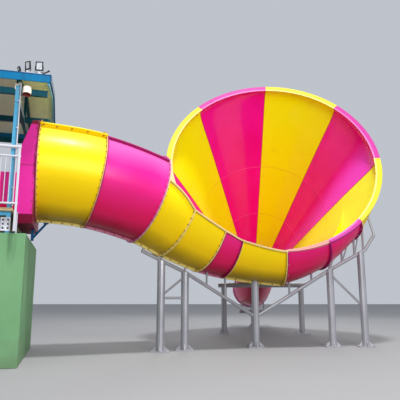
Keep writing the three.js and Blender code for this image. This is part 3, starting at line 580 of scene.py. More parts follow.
def edgesAt(place):
    at = clamp(place - 3, 0, len(flumeEdges) - 1)
    low = min(int(at), len(flumeEdges) - 2)
    return [mix(flumeEdges[low][n], flumeEdges[low + 1][n], at - low) for n in (0, 1)]


def placeOf(length, place):
    return length * 0.002 / (pathAt(place + 0.001) - pathAt(place - 0.001)).length


# A moulding is made of walls, each between an outer and an inner grid of points
class Moulding:
    def __init__(self):
        self.points, self.faces, self.looks = [], [], []

    def wall(self, outer, inner, closed=False, look=0):
        rows, columns = len(outer), len(outer[0])
        start = len(self.points)
        for grid in (outer, inner):
            for row in grid:
                self.points += row
        out = lambda i, j: start + i * columns + j % columns
        within = lambda i, j: start + (rows + i) * columns + j % columns
        faces = []
        for j in range(columns if closed else columns - 1):
            for i in range(rows - 1):
                faces.append((out(i, j), out(i, j + 1), out(i + 1, j + 1), out(i + 1, j)))
                faces.append((within(i, j), within(i + 1, j), within(i + 1, j + 1), within(i, j + 1)))
            faces.append((out(0, j), within(0, j), within(0, j + 1), out(0, j + 1)))
            end = rows - 1
            faces.append((out(end, j), out(end, j + 1), within(end, j + 1), within(end, j)))
        if not closed:
            for i in range(rows - 1):
                for j in (0, columns - 1):
                    faces.append((out(i, j), out(i + 1, j), within(i + 1, j), within(i, j)))
        self.faces += faces
        self.looks += [look] * len(faces)
        return self

    def piece(self, name, bevel=0.004, looks=()):
        mesh = bpy.data.meshes.new(name)
        mesh.from_pydata(self.points, [], self.faces)
        for look in looks:
            mesh.materials.append(look)
        mesh.polygons.foreach_set("material_index", self.looks)
        work = bmesh.new()
        work.from_mesh(mesh)
        bmesh.ops.recalc_face_normals(work, faces=work.faces)
        work.to_mesh(mesh)
        work.free()
        obj = bpy.data.objects.new(name, mesh)
        bpy.context.collection.objects.link(obj)
        return smoothEdges(obj, bevel) if bevel else obj


def steps(start, end, count):
    return [mix(start, end, i / count) for i in range(count + 1)]


fullTurn = steps(0, 360, slide["tubeSides"])[:-1]


def subtract(obj, cutter):
    pick(obj)
    bpy.ops.object.modifier_add(type="BOOLEAN")
    cut = obj.modifiers[-1]
    cut.operation = "DIFFERENCE"
    cut.solver = "EXACT"
    cut.object = cutter
    bpy.ops.object.modifier_apply(modifier=cut.name)


# Each loose shell of a moulding is cut by itself, so that shells that cross each other stay whole
def cutAway(obj, cutter):
    name = obj.name
    pick(obj)
    bpy.ops.object.mode_set(mode="EDIT")
    bpy.ops.mesh.select_all(action="SELECT")
    bpy.ops.mesh.separate(type="LOOSE")
    bpy.ops.object.mode_set(mode="OBJECT")
    shells = list(bpy.context.selected_objects)
    for shell in shells:
        subtract(shell, cutter)
    kept = [shell for shell in shells if len(shell.data.polygons)]
    for shell in shells:
        if shell not in kept:
            bpy.data.objects.remove(shell)
    return joinAll(kept, name)


# Walls, ring flanges and ribs of one stretch of the slide
def stretchWall(start, end, angles, outer, inner, count, closed=False, look=0, moulding=None):
    outerRows, innerRows = [], []
    for place in steps(start, end, count):
        section = sectionAt(place)
        turns = angles(place)
        outerRows.append([sectionPoint(section, outer, a) for a in turns])
        innerRows.append([sectionPoint(section, inner, a) for a in turns])
    return (moulding or Moulding()).wall(outerRows, innerRows, closed, look)


def stretch(name, start, around, count, ribs, closed=False, looks=()):
    end = start + 1
    radius, sunk = slide["tubeRadius"], slide["tubeRadius"] - slide["sunk"]
    made = stretchWall(start, end, around, radius, radius - slide["laminate"], count, closed)
    for at, way, look in ((start, 1, 1), (end, -1, 2)):
        near, far = [at + way * placeOf(slide[length], at) for length in ("flangeGap", "flangeThickness")]
        stretchWall(near, far, around, radius + slide["flangeHeight"], sunk, 1, closed, look, made)
    half, gap = math.degrees(slide["ribWidth"] / 2 / radius), math.degrees(slide["ribGap"] / radius)
    for angle, height, look in ribs:
        for edges in ([angle - half, angle - gap], [angle + gap, angle + half]):
            stretchWall(start, end, lambda place: edges, radius + height, sunk, count, False, look, made)
    return made.piece(name, looks=looks)


def tubeStretch(name, start, seam):
    ribs = [(slide["seamAngle"], seam, 3), (180, slide["ribHeight"], 4)]
    return stretch(name, start, lambda place: fullTurn, slide["tubeSteps"], ribs, True)


def flumeStretch(name, start, looks):
    def around(place):
        near, far = edgesAt(place)
        return steps(near, 360 - far, slide["flumeSides"])

    return stretch(name, start, around, slide["flumeSteps"], [(180, slide["ribHeight"], 4)], looks=looks)


def nearLip(name, start, looks):
    radius = slide["tubeRadius"]
    half = math.degrees(slide["lipThickness"] / radius) / 2
    lip = stretchWall(
        start, start + 1, lambda place: [edgesAt(place)[0] - half, edgesAt(place)[0] + half],
        radius + slide["flangeHeight"], radius - slide["laminate"] - 0.002, slide["flumeSteps"], False, 5)
    return lip.piece(name, looks=looks)


# Space inside the funnel, which the flume is cut to, and the space of the flume, which the funnel is cut to
core = {"axis": 0.01, "clear": 0.008, "inside": 0.006, "start": 2.7, "steps": 60}


def funnelCore():
    depths = [0.03, 0.08, 0.15, 0.26, 0.4, 0.6, 0.9, 1.4, 2, 3, funnel["depth"]]
    outer = [[funnelPoint(depth, coneRadius(depth) + core["clear"], a) for a in fullTurn] for depth in depths]
    inner = [[funnelPoint(depth, core["axis"], a) for a in fullTurn] for depth in depths]
    return Moulding().wall(outer, inner, True).piece("funnelCore", 0)


def flumeCore():
    radius = slide["tubeRadius"] - core["inside"]
    made = stretchWall(core["start"], 7, lambda place: fullTurn, radius, core["axis"], core["steps"], True)
    return made.piece("flumeCore", 0)


insideFunnel, insideFlume = funnelCore(), flumeCore()

# Looks on each stretch, in this order: wall, flange at its start and at its end, upper rib, bottom rib, lip
tubes = {
    "tube_upper": (1, "yellow", slide["upperSeam"],
                   ["yellowGelcoat", "creamFlange", "creamFlange", "yellowGelcoat", "paleYellowFlange"]),
    # on the lower tube the start flange and the upper rib are dark pink, painted shade
    "tube_lower": (2, "pink", slide["lowerSeam"],
                   ["pinkGelcoat", "shadePinkFlange", "lilacFlange", "shadePinkFlange", "dustyPinkFlange"]),
}
for name, (place, colour, seam, looks) in tubes.items():
    tube = tubeStretch(name, place, seam)
    handOver(tube, [gels[look] for look in looks], [name + "_" + colour])
flumeLooks = {
    "yellow": ["yellowGelcoat", "paleYellowFlange", "paleYellowFlange",
               "yellowGelcoat", "paleYellowFlange", "creamLip"],
    # the pink flume's flanges are dark pink, painted shade
    "pink": ["pinkGelcoat", "shadePinkFlange", "shadePinkFlange", "pinkGelcoat", "dustyPinkFlange", "creamLip"],
}
flumes = {"flume_first": "yellow", "flume_second": "yellow", "flume_third": "pink", "flume_fourth": "yellow"}
for place, (name, colour) in enumerate(flumes.items(), 3):
    looks = [gels[look] for look in flumeLooks[colour]]
    wall = cutAway(flumeStretch(name, place, looks), insideFunnel)
    lip = cutAway(nearLip(name + "Lip", place, looks), insideFunnel)
    handOver(joinAll([wall, lip], name), looks, [name + "_" + colour])
print("tubes and flume made")


# Funnel stripes: each is a wall, its ribs and ring flanges, and its stretch of the lip
stripe = {
    "gap": 0.01,
    "mouthDepths": [0, 0.04, 0.08, 0.12, 0.17, 0.23, 0.3, 0.38, 0.48, 0.6,
                    0.75, 0.92, 1.15, 1.5, 1.9, 2.3, 3.3, 3.9],
    "bulgeDepths": [3.4, 4.1],
    "endDepths": [5.2, 5.8, funnel["depth"]],
    "rib": (0.001, 0.022),
    "sunk": 0.003,
    "ringHalf": 0.024,
    "endRing": 0.026,
    "lipSteps": 8,
    "lipThickness": 0.03,
    "returnDepths": (0.01, 0.1),
    "returnThickness": 0.02,
    "beadDepths": (-0.003, 0.012),
}


def stripeDepths(bulged):
    depths = stripe["bulgeDepths" if bulged else "mouthDepths"] + stripe["endDepths"]
    half, groove = funnel["seamWidth"] / 2, funnel["grooveDepth"]
    for joint in funnel["panelJoints"]:
        depths = depths + [joint + shift for shift in (-half, -groove, 0, groove, half)]
    return sorted(depths)


# The round wall beside the foot, from the lip to where it runs into the cone
def bulgeWall(angle, grown):
    radius = slide["tubeRadius"] - slide["laminate"] + grown
    wall = []
    first = math.acos(funnel["bulgeDepth"] / radius)
    for turn in steps(first, math.radians(funnel["bulgeTurn"]), funnel["bulgeSteps"]):
        depth = funnel["bulgeDepth"] - radius * math.cos(turn)
        out = funnel["bulgeRadius"] + radius * math.sin(turn)
        wall.append((depth, mix(coneRadius(depth) + grown, out, bulgeShare(angle))))
    return wall


# Behind it the cone still stands out a little, less and less towards its narrow end
def bulgeExcess(end, grown, depth):
    endDepth, endRadius = end
    left = 1 - (depth - endDepth) / (funnel["depth"] - endDepth)
    return (endRadius - coneRadius(endDepth) - grown) * left


def stripeProfile(angle, bulged, grown, groove=0.0):
    profile = bulgeWall(angle, grown) if bulged else []
    end = profile[-1] if bulged else None
    for depth in stripeDepths(bulged):
        radius = coneRadius(depth) + grown
        if bulged:
            radius += bulgeExcess(end, grown, depth)
        profile.append((depth, radius + (groove if depth in funnel["panelJoints"] else 0)))
    return profile


def stripeWall(turns, bulged):
    skins = []
    for grown, groove in ((slide["laminate"], 0), (0, funnel["grooveDepth"])):
        profiles = [stripeProfile(a, bulged, grown, groove) for a in turns]
        skins.append([[funnelPoint(d, r, a) for d, r in profile] for a, profile in zip(turns, profiles)])
    return Moulding().wall(*skins)


# Ribs along both long edges, one more on the wall of the bulge, and ring flanges at the joints and the end
def stripeRibs(turns, bulged, seamed):
    ribs = Moulding()
    thin = slide["laminate"]
    heights = (thin + slide["flangeHeight"], thin - stripe["sunk"])
    edges = [(turns[0], 1), (turns[-1], -1)]
    if seamed:
        edges += [(funnel["bulgeSeam"], 1), (funnel["bulgeSeam"], -1)]
    for edge, way in edges:
        grids = []
        for grown in heights:
            profile = stripeProfile(edge, bulged, grown)
            grids.append([[funnelPoint(d, r, edge + way * math.degrees(shift / r)) for d, r in profile]
                          for shift in stripe["rib"]])
        ribs.wall(*grids, False, 2)
    ends = [bulgeWall(a, thin)[-1] if bulged else None for a in turns]
    for joint in funnel["panelJoints"] + [funnel["depth"] - stripe["endRing"]]:
        grids = []
        for grown in heights:
            rows = []
            for depth in (joint - stripe["ringHalf"], joint + stripe["ringHalf"]):
                radius = coneRadius(depth) + grown
                rows.append([funnelPoint(depth, radius + (bulgeExcess(end, thin, depth) if bulged else 0), a)
                             for a, end in zip(turns, ends)])
            grids.append(rows)
        ribs.wall(*grids, False, 2)
    return ribs


# A ring of the lip between two depths, from the inner radius of each turn to the outer one
def lipRing(lip, part, inner, outer, depths, look):
    grids = []
    for depth, low, high in zip(depths, inner, outer):
        grids.append([[funnelPoint(depth, a, turn), funnelPoint(depth, b, turn)]
                      for turn, a, b in zip(part, low, high)])
    lip.wall(*grids, False, look)


# Lip with a short return at its outer edge and a paler bead inside, a painted highlight along its inner edge;
# beside the foot it is all pale
def stripeLip(start, end, bulged, i):
    lip = Moulding()
    seam, wide = funnel["bulgeSeam"], funnel["lipRadius"]
    if i == 4:
        parts = [(start, seam, 5), (seam, end, 1)]
    else:
        parts = [(start, end, 5 if i in (2, 3) else 1)]
    for low, high, look in parts:
        part = steps(low, high, stripe["lipSteps"])
        inner = [stripeProfile(a, bulged, 0)[0][1] for a in part]
        rim = [wide] * len(part)
        lipRing(lip, part, (inner, [r + 0.002 for r in inner]), (rim, rim), (0, stripe["lipThickness"]), look)
        lip.wall(*[[[funnelPoint(depth, radius, a) for depth in stripe["returnDepths"]] for a in part]
                   for radius in (wide, wide - stripe["returnThickness"])], False, look)
        beadIn, beadOut = [r - 0.001 for r in inner], [r + funnel["beadWidth"] for r in inner]
        # the bead takes the paler look, a painted highlight, except on the pale lip beside the foot
        beadLook = 6 if look == 1 else look
        lipRing(lip, part, (beadIn, beadIn), (beadOut, beadOut), stripe["beadDepths"], beadLook)
    return lip


def funnelStripe(i, looks):
    bulged = i in (4, 5)
    start, end = funnel["stripeEnds"][i] + stripe["gap"], funnel["stripeEnds"][i + 1] - stripe["gap"]
    turns = steps(start, end, funnel["stripeSteps"])
    shells = {
        "wall": stripeWall(turns, bulged),
        "ribs": stripeRibs(turns, bulged, i == 4),
        "lip": stripeLip(start, end, bulged, i),
    }
    pieces = [shell.piece("stripe" + str(i) + part, 0.003, looks) for part, shell in shells.items()]
    # the outside has its own look, and inside the seam where the panels of a stripe meet is drawn paler, a
    # painted reflection
    for face in pieces[0].data.polygons:
        depth = (funnel["centre"] - face.center).dot(forward)
        if face.normal.dot(face.center - funnel["centre"] + forward * depth) > 0:
            face.material_index = 4
        elif any(abs(depth - joint) < funnel["seamWidth"] / 2 for joint in funnel["panelJoints"]):
            face.material_index = 3
    return pieces


# Looks on each stripe, in this order: inside, lip, ribs (dark pink on the pink stripes, painted shade), panel
# seams (paler, a painted reflection), outside, lip beside the foot, bead (paler, a painted highlight)
stripeLooks = [
    ["innerPink", "pinkLip", "shadePinkFlange", "pinkSeamHighlight", "pinkGelcoat", "creamLip", "pinkLipHighlight"],
    ["innerYellow", "yellowLip", "paleYellowFlange", "yellowSeamHighlight", "yellowGelcoat", "creamLip",
     "yellowLipHighlight"],
]
stripeNames = ["top_left", "left_upper", "left_lower", "bottom_left",
               "bottom_right", "right_lower", "right_upper", "top_right"]
for i, name in enumerate(stripeNames):
    looks = [gels["peachLip" if i == 4 and look == "creamLip" else look] for look in stripeLooks[i % 2]]
    parts = funnelStripe(i, looks)
    if i in (2, 3):
        parts = [cutAway(part, insideFlume) for part in parts]
    slot = "yellow_fibreglass" if i % 2 else "pink_fibreglass"
    handOver(joinAll(parts, "funnel_" + name), looks, ["funnel_stripe_" + name])
bpy.data.objects.remove(insideFunnel)
print("funnel made")


# Solids that keep their form: a copy with its edges rounded, which takes the solid's place
def dressed(name, looks, width=0.004, sharpFrom=28, segments=2):
    mesh = nodes[name].data.copy()
    mesh.transform(nodes[name].matrix_world)
    obj = bpy.data.objects.new(name + "_dressed", mesh)
    bpy.context.collection.objects.link(obj)
    pick(obj)
    bpy.ops.object.mode_set(mode="EDIT")
    bpy.ops.mesh.select_all(action="SELECT")
    bpy.ops.mesh.remove_doubles(threshold=0.0002)
    bpy.ops.mesh.normals_make_consistent(inside=False)
    bpy.ops.mesh.dissolve_limited(angle_limit=math.radians(0.5))
    bpy.ops.object.mode_set(mode="OBJECT")
    smoothEdges(obj, width, segments, sharpFrom)
    return handOver(obj, looks, [name])


def block(low, high, bevel=0.003, segments=2):
    centre = [(a + b) / 2 for a, b in zip(low, high)]
    size = [b - a for a, b in zip(low, high)]
    deselect()
    bpy.ops.mesh.primitive_cube_add(size=1, location=centre, scale=size)
    return smoothEdges(settle(bpy.context.object), bevel, segments)


def rod(start, end, radius, sides=20, bevel=0.002):
    start, end = Vector(start), Vector(end)
    turn = (end - start).to_track_quat("Z", "Y").to_euler()
    deselect()
    bpy.ops.mesh.primitive_cylinder_add(
        vertices=sides, radius=radius, depth=(end - start).length, location=(start + end) / 2, rotation=turn)
    return smoothEdges(settle(bpy.context.object), bevel, 1)


def onTower(obj):
    obj.data.transform(towerMatrix)
    return obj


# Bolts: a washer and a six-sided head, modelled once
bolt = {"washer": 0.017, "washerHeight": 0.004, "head": 0.0115, "headHeight": 0.012}


def boltModel(size):
    low, height = bolt["washerHeight"], bolt["headHeight"] * size
    deselect()
    bpy.ops.mesh.primitive_cylinder_add(
        vertices=12, radius=bolt["washer"] * size, depth=low, location=(0, 0, low / 2))
    washer = settle(bpy.context.object)
    deselect()
    bpy.ops.mesh.primitive_cylinder_add(
        vertices=6, radius=bolt["head"] * size, depth=height, location=(0, 0, low + height / 2))
    head = smoothEdges(settle(bpy.context.object), 0.001, 1)
    return joinAll([head, washer], "bolt")


def seatOn(point, normal):
    return Matrix.Translation(point) @ normal.to_track_quat("Z", "Y").to_matrix().to_4x4()


def bolts(name, spots, look, size=1.0):
    made = copyTo(boltModel(size), [seatOn(point, normal.normalized()) for point, normal in spots])
    return handOver(joinAll(made, name), [look])


# Where the bolts sit: how many go round a tube, how far apart they are, and their distance from the ends
boltRows = {
    "round": 42, "flumePitch": 8.6, "flumeEnd": 3, "height": 0.56, "ribPitch": 0.27, "ribEnd": 0.06,
    "ribShare": 0.55, "lipCount": 30, "lipRise": 0.025, "seat": 0.001, "funnelPitch": 0.28,
    "funnelSide": 0.0235, "ringSide": 0.0245, "clear": 0.05,
}
tubeRadius = slide["tubeRadius"]


# Bolts along the ring flanges of the tube and the flume, outside the funnel
def ringBoltSpots():
    spots = []
    # each flange has bolts on the side of its own stretch: 1 and 2 are the tubes, 3 to 6 the flume
    flanges = [(ring, way) for ring in range(1, 8) for way in (-1, 1)][1:-1]
    for ring, way in flanges:
        at = ring + way * placeOf(slide["flangeThickness"] + boltRows["seat"], ring + way * 0.05)
        centre = sectionAt(at)
        if ring + min(way, 0) < 3:
            turns = steps(0, 360, boltRows["round"])[:-1]
        else:
            near, far = edgesAt(clamp(at, 3, 7))
            count = round((360 - far - near) / boltRows["flumePitch"])
            turns = steps(near + boltRows["flumeEnd"], 360 - far - boltRows["flumeEnd"], count)
        for turn in turns:
            point = sectionPoint(centre, tubeRadius + slide["flangeHeight"] * boltRows["height"], turn)
            depth = (point - funnel["centre"]).dot(-forward)
            away = (point - funnel["centre"] + forward * depth).length
            if depth < 0 or away > coneRadius(depth) + boltRows["clear"]:
                spots.append((point, centre[3] * way))
    return spots


# Bolts on both sides of the ribs on top of the tube and under it
def ribBoltSpots():
    spots = []
    half = math.degrees((slide["ribWidth"] / 2 + boltRows["seat"]) / tubeRadius)
    for start in range(1, 7):
        ribs = [(180, slide["ribHeight"])]
        if start < 3:
            ribs.append((slide["seamAngle"], slide["upperSeam" if start == 1 else "lowerSeam"]))
        length = sum((pathAt(a + 0.05) - pathAt(a)).length for a in steps(start, start + 1 - 0.05, 19))
        count = max(3, round(length / boltRows["ribPitch"]))
        for place in steps(start + boltRows["ribEnd"], start + 1 - boltRows["ribEnd"], count):
            centre = sectionAt(place)
            for angle, height in ribs:
                for way in (-1, 1):
                    turn = angle + way * half
                    radius = tubeRadius + height * boltRows["ribShare"]
                    point = sectionPoint(centre, radius, turn)
                    spots.append((point, sectionPoint(centre, radius, turn + way) - point))
    return spots


# Bolts on top of the near lip of the flume
def lipBoltSpots():
    spots = []
    half = math.degrees((slide["lipThickness"] / 2 + boltRows["seat"]) / tubeRadius)
    for place in steps(3 + boltRows["ribEnd"], 7 - boltRows["ribEnd"], boltRows["lipCount"]):
        centre, turn = sectionAt(place), edgesAt(place)[0] - half
        point = sectionPoint(centre, tubeRadius + boltRows["lipRise"], turn)
        spots.append((point, point - sectionPoint(centre, tubeRadius + boltRows["lipRise"], turn + 1)))
    return spots


# Bolts along the ribs and the ring flanges of the funnel, outside
def funnelBoltSpots():
    spots = []
    tall = slide["laminate"] + slide["flangeHeight"] * boltRows["ribShare"]
    for i, (start, end) in enumerate(zip(funnel["stripeEnds"], funnel["stripeEnds"][1:])):
        bulged = i in (4, 5)
        for edge, way in ((start, 1), (end, -1)):
            if edge == funnel["footAngle"] and i == 3:
                continue
            reach = 0.0
            profile = stripeProfile(edge % 360, bulged, tall)
            for (d0, r0), (d1, r1) in zip(profile, profile[1:]):
                a, b = funnelPoint(d0, r0, edge), funnelPoint(d1, r1, edge)
                reach += (b - a).length
                if reach > boltRows["funnelPitch"]:
                    reach = 0.0
                    side = funnelPoint(d1, r1, edge + way * math.degrees(boltRows["funnelSide"] / r1))
                    spots.append((side, side - b))
        if bulged:
            continue
        for joint in funnel["panelJoints"]:
            for way in (-1, 1):
                for turn in steps(start + 3, end - 3, 5):
                    point = funnelPoint(joint + way * boltRows["ringSide"], coneRadius(joint) + tall, turn)
                    spots.append((point, forward * -way))
    return spots


bolts("ring_bolts", ringBoltSpots(), gels["boltRed"])
bolts("rib_bolts", ribBoltSpots(), gels["boltRed"])
bolts("lip_bolts", lipBoltSpots(), zincLook)
bolts("funnel_bolts", funnelBoltSpots(), zincLook)

# Dark lines where the stripes meet, a flexible sealant in the joint
sealant = {"edges": (0, 45, 90, 135, 225, 270, 315), "half": 0.009, "depths": (-0.0006, -0.004)}
jointShells = Moulding()
for edge in sealant["edges"]:
    grids = []
    for grown in sealant["depths"]:
        profile = stripeProfile(edge, edge == 225, grown)
        grids.append([[funnelPoint(d, r, edge + way * math.degrees(sealant["half"] / r)) for d, r in profile]
                      for way in (-1, 1)])
    jointShells.wall(*grids)
jointLines = cutAway(jointShells.piece("stripe_joints", 0), insideFlume)
handOver(jointLines, [gels["jointLine"]])
bpy.data.objects.remove(insideFlume)
print("bolts and joints made")

# Run-out: a smooth open trough behind the narrow end
runOut = {
    "radius": coneRadius(funnel["depth"]) + slide["laminate"],
    "edge": 78, "steps": 30, "sides": 40, "flange": 0.025, "curve": 2.45, "lip": 0.016, "lipHeight": 0.045,
    "drop": 0.84, "length": 2.3, "bend": 1.1, "pull": 0.9,
}
runStart = funnelPoint(funnel["depth"] + 0.0003, 0, 0)
runBend = funnelPoint(funnel["depth"] + runOut["bend"], 0, 0)
runEnd = Vector((runStart.x, runStart.y + runOut["length"], runOut["radius"] + runOut["drop"]))
runPull = runEnd + Vector((0, -runOut["pull"], 0))


def runSection(share):
    left = 1 - share
    centre = runStart * left ** 3 + runBend * 3 * left ** 2 * share
    centre = centre + runPull * 3 * left * share ** 2 + runEnd * share ** 3
    along = (runBend - runStart) * left ** 2 + (runPull - runBend) * 2 * left * share
    along = (along + (runEnd - runPull) * share ** 2).normalized()
    up = (Vector((0, 0, 1)) - along * along.z).normalized()
    return centre, up, along.cross(up), along


def runWall(moulding, start, end, outer, inner, count, turns, look):
    grids = [[], []]
    for share in steps(start, end, count):
        section = runSection(share)
        for grid, radius in zip(grids, (outer, inner)):
            grid.append([sectionPoint(section, radius, turn) for turn in turns])
    moulding.wall(*grids, False, look)


def runOutTrough():
    radius, edge = runOut["radius"], runOut["edge"]
    around = steps(edge, 360 - edge, runOut["sides"])
    sunk = radius - slide["sunk"]
    flange = runOut["flange"] / runOut["curve"]
    lip = math.degrees(runOut["lip"] / radius)
    made = Moulding()
    runWall(made, 0, 1, radius, radius - slide["laminate"], runOut["steps"], around, 0)
    for start, end in ((0.0005, flange), (1 - flange, 0.9995)):
        runWall(made, start, end, radius + slide["flangeHeight"], sunk, 1, around, 1)
    for at in (edge, 360 - edge):
        runWall(made, 0, 1, radius + runOut["lipHeight"], radius - slide["laminate"], runOut["steps"],
                [at - lip, at + lip], 2)
    return made.piece("run_out")


handOver(runOutTrough(), [pink, gels["lilacFlange"], gels["pinkLip"]], ["run_out_pink"])

# Supports: rounded pipes with anchor bolts and gussets at each foot
feet = {
    "innerLeft": (0, 0), "outerLeft": (-0.56, -0.33), "centre": (1.795, 0.7), "innerRight": (3.79, 0.85),
    "outerRight": (4.63, 0.85), "rearLeft": (1.2107, 5.3), "rearRight": (3.9107, 5.3),
    "runOut": (2.5607, 8.6534),
}
foot = {
    "plate": 0.02, "bolt": 0.16, "gusset": 0.09, "height": 0.12, "thickness": 0.01, "post": 0.095,
    "thinPost": 0.08,
}
for name in ("trestle_left", "trestle_right", "centre_post", "rear_frame", "run_out_stand"):
    dressed(name, [zincLook], 0.006, 25)


def gusset(x, y, radius, turn):
    inner, outer = radius - 0.004, radius + foot["gusset"]
    half, top = foot["thickness"] / 2, foot["plate"] + foot["height"]
    obj = block((inner, -half, foot["plate"] - 0.001), (outer, half, top), 0)
    pick(obj)
    bpy.ops.object.mode_set(mode="EDIT")
    bpy.ops.mesh.select_all(action="SELECT")
    bpy.ops.mesh.bisect(
        plane_co=(outer, 0, foot["plate"] + 0.02), plane_no=(0.74, 0, 0.67), clear_outer=True, use_fill=True)
    bpy.ops.object.mode_set(mode="OBJECT")
    smoothEdges(obj, 0.0015, 1)
    obj.data.transform(Matrix.Translation((x, y, 0)) @ Matrix.Rotation(math.radians(turn), 4, "Z"))
    return obj


gussets, anchors = [], []
for name, (x, y) in feet.items():
    radius = foot["thinPost" if name == "runOut" else "post"]
    gussets += [gusset(x, y, radius, turn) for turn in (0, 90, 180, 270)]
    for cornerX in (-foot["bolt"], foot["bolt"]):
        for cornerY in (-foot["bolt"], foot["bolt"]):
            anchors.append((Vector((x + cornerX, y + cornerY, foot["plate"])), Vector((0, 0, 1))))
handOver(joinAll(gussets, "foot_gussets"), [zincLook])
bolts("anchor_bolts", anchors, zincLook, size=1.8)
print("supports made")

# Tower: walls, columns, beams and boards keep their form with rounded edges
for side in ("front", "rear", "left", "right"):
    dressed("base_wall_" + side, [renderLook], 0.012)
towerLooks = {
    "deck_beam": ("sky_blue_paint", coats["skyBluePaint"], 0.004),
    # the fascia takes the darker copy of the sky-blue paint, painted shade
    "fascia": ("sky_blue_paint", coats["shadedFasciaPaint"], 0.004),
    "barge_board": ("teal_paint", coats["darkBluePaint"], 0.004),
    "start_tub": ("pink_fibreglass", pink, 0.006),
    # the mouth plate is dark pink, painted shade
    "mouth_plate": ("pink_fibreglass", gels["paintedShadePink"], 0.003),
    "hood_post": ("teal_paint", coats["darkBluePaint"], 0.003),
    "column": ("sky_blue_paint", coats["skyBluePaint"], 0.006),
    "eave_beam": ("teal_paint", coats["tealPaint"], 0.005),
    "railing_corner": ("white_rail", coats["whitePaint"], 0.003),
    "ridge_beam": ("teal_paint", coats["tealPaint"], 0.005),
    "roof_tie": ("teal_paint", coats["tealPaint"], 0.005),
    "roof_truss": ("teal_paint", coats["tealPaint"], 0.005),
}
for kind, (slot, look, width) in towerLooks.items():
    for name in sorted(nodes):
        if name.startswith(kind):
            dressed(name, [look], width)

# Deck: boards along the tower on the solid's under half
deck = {
    "left": -3.99, "right": -0.42, "front": -1.42, "rear": 2.18, "top": 2.92, "depth": 0.06,
    "board": 0.145, "boardDepth": 0.024, "gap": 0.005, "inset": 0.012, "edge": 0.011,
}


def deckBoards():
    left, right, front, rear = [deck[side] for side in ("left", "right", "front", "rear")]
    top, inset = deck["top"], deck["inset"]
    pitch = deck["board"] + deck["gap"]
    count = int((rear - front) / pitch)
    first = front + (rear - front - count * pitch) / 2
    board = block((left + inset, 0, top - deck["boardDepth"]), (right - inset, deck["board"], top), 0.003)
    made = copyTo(board, [Matrix.Translation((0, first + i * pitch, 0)) for i in range(count)])
    made.append(block((left, front, top - deck["depth"]), (right, rear, top - 0.026), 0.004))
    for near, far in ((front, front + deck["edge"]), (rear - deck["edge"], rear)):
        made.append(block((left, near, top - 0.0265), (right, far, top), 0.002))
    return onTower(joinAll(made, "deck_boards"))


handOver(deckBoards(), [boardLook], ["deck"])
print("tower solids dressed")

# Hood: the faces that slope away from the front are a darker pink, painted shade
hood = dressed("hood", [gels["hoodPink"], gels["paintedShadePink"]], 0.004)
for face in hood.data.polygons:
    face.material_index = 1 if abs(face.normal.z) > 0.3 else 0
lap = {
    "start": deck["right"] + 0.012, "end": -0.103, "side": 1.0495, "z": 3.866, "half": 0.004,
    "rivets": 5, "rivetZ": 3.886, "rivet": 0.007, "rivetEnd": 0.03,
}
pieces = []
under, above = lap["z"] - lap["half"], lap["z"] + lap["half"]
for side in (-1, 1):
    sunk, skin, head = [side * (lap["side"] + shift) for shift in (-0.001, 0.003, 0.0045)]
    low, high = sorted((sunk, skin))
    pieces.append(block((lap["start"], low, under), (lap["end"], high, above), 0.001))
    for t in steps(lap["start"] + lap["rivetEnd"], lap["end"] - lap["rivetEnd"], lap["rivets"] - 1):
        pieces.append(rod((t, sunk, lap["rivetZ"]), (t, head, lap["rivetZ"]), lap["rivet"], 12, 0.001))
# the lap is the same dark pink, painted shade
handOver(onTower(joinAll(pieces, "hood_lap")), [gels["paintedShadePink"]])

# Roof sheets: standing seams on top, the seams and the screw lines show underneath
roof = {
    "left": -4.5, "right": 0.11, "front": -1.54, "rear": 2.3, "ridge": 0.38, "eaveTop": 5.61, "rise": 0.42,
    "thickness": 0.06, "seamPitch": 0.385, "seamHeight": 0.024,
}


def roofSheet(name, edge, replaced):
    left, right, seam = roof["left"], roof["right"], roof["seamHeight"]
    run = abs(edge - roof["ridge"])
    length = math.hypot(run, roof["rise"])
    lean = math.atan2(roof["rise"], run)
    thick = roof["thickness"] * math.cos(lean) - seam
    made = [block((left, 0, -thick), (right, length, 0), 0.004)]
    count = int((right - left) / roof["seamPitch"])
    first = left + (right - left - count * roof["seamPitch"]) / 2
    places = [Matrix.Translation((first + i * roof["seamPitch"], 0, 0)) for i in range(count + 1)]
    fold = block((-0.011, 0.006, -0.002), (0.011, length - 0.02, seam), 0.004)
    under = block((-0.03, 0.03, -thick - 0.004), (0.03, length - 0.03, -thick + 0.001), 0.002)
    sheet = joinAll(made + copyTo(fold, places) + copyTo(under, places), name)
    lowered = Matrix.Translation((0, 0, -seam / math.cos(lean)))
    across = Matrix.Translation((0, edge, roof["eaveTop"]))
    mirrored = edge > roof["ridge"]
    if mirrored:
        across = across @ Matrix.Scale(-1, 4, (0, 1, 0))
    sheet.data.transform(across @ lowered @ Matrix.Rotation(lean, 4, "X"))
    if mirrored:
        sheet.data.flip_normals()
    handOver(onTower(sheet), [coats["roofPaint"], coats["roofTopShadePaint"]], [replaced])
    # faces that look up get the darker roof paint, painted shade; the paler paint underneath is painted light
    for face in sheet.data.polygons:
        face.material_index = 1 if face.normal.z > 0.5 else 0


roofSheet("roof_sheet_front", roof["front"], "roof_slope_front")
roofSheet("roof_sheet_rear", roof["rear"], "roof_slope_rear")

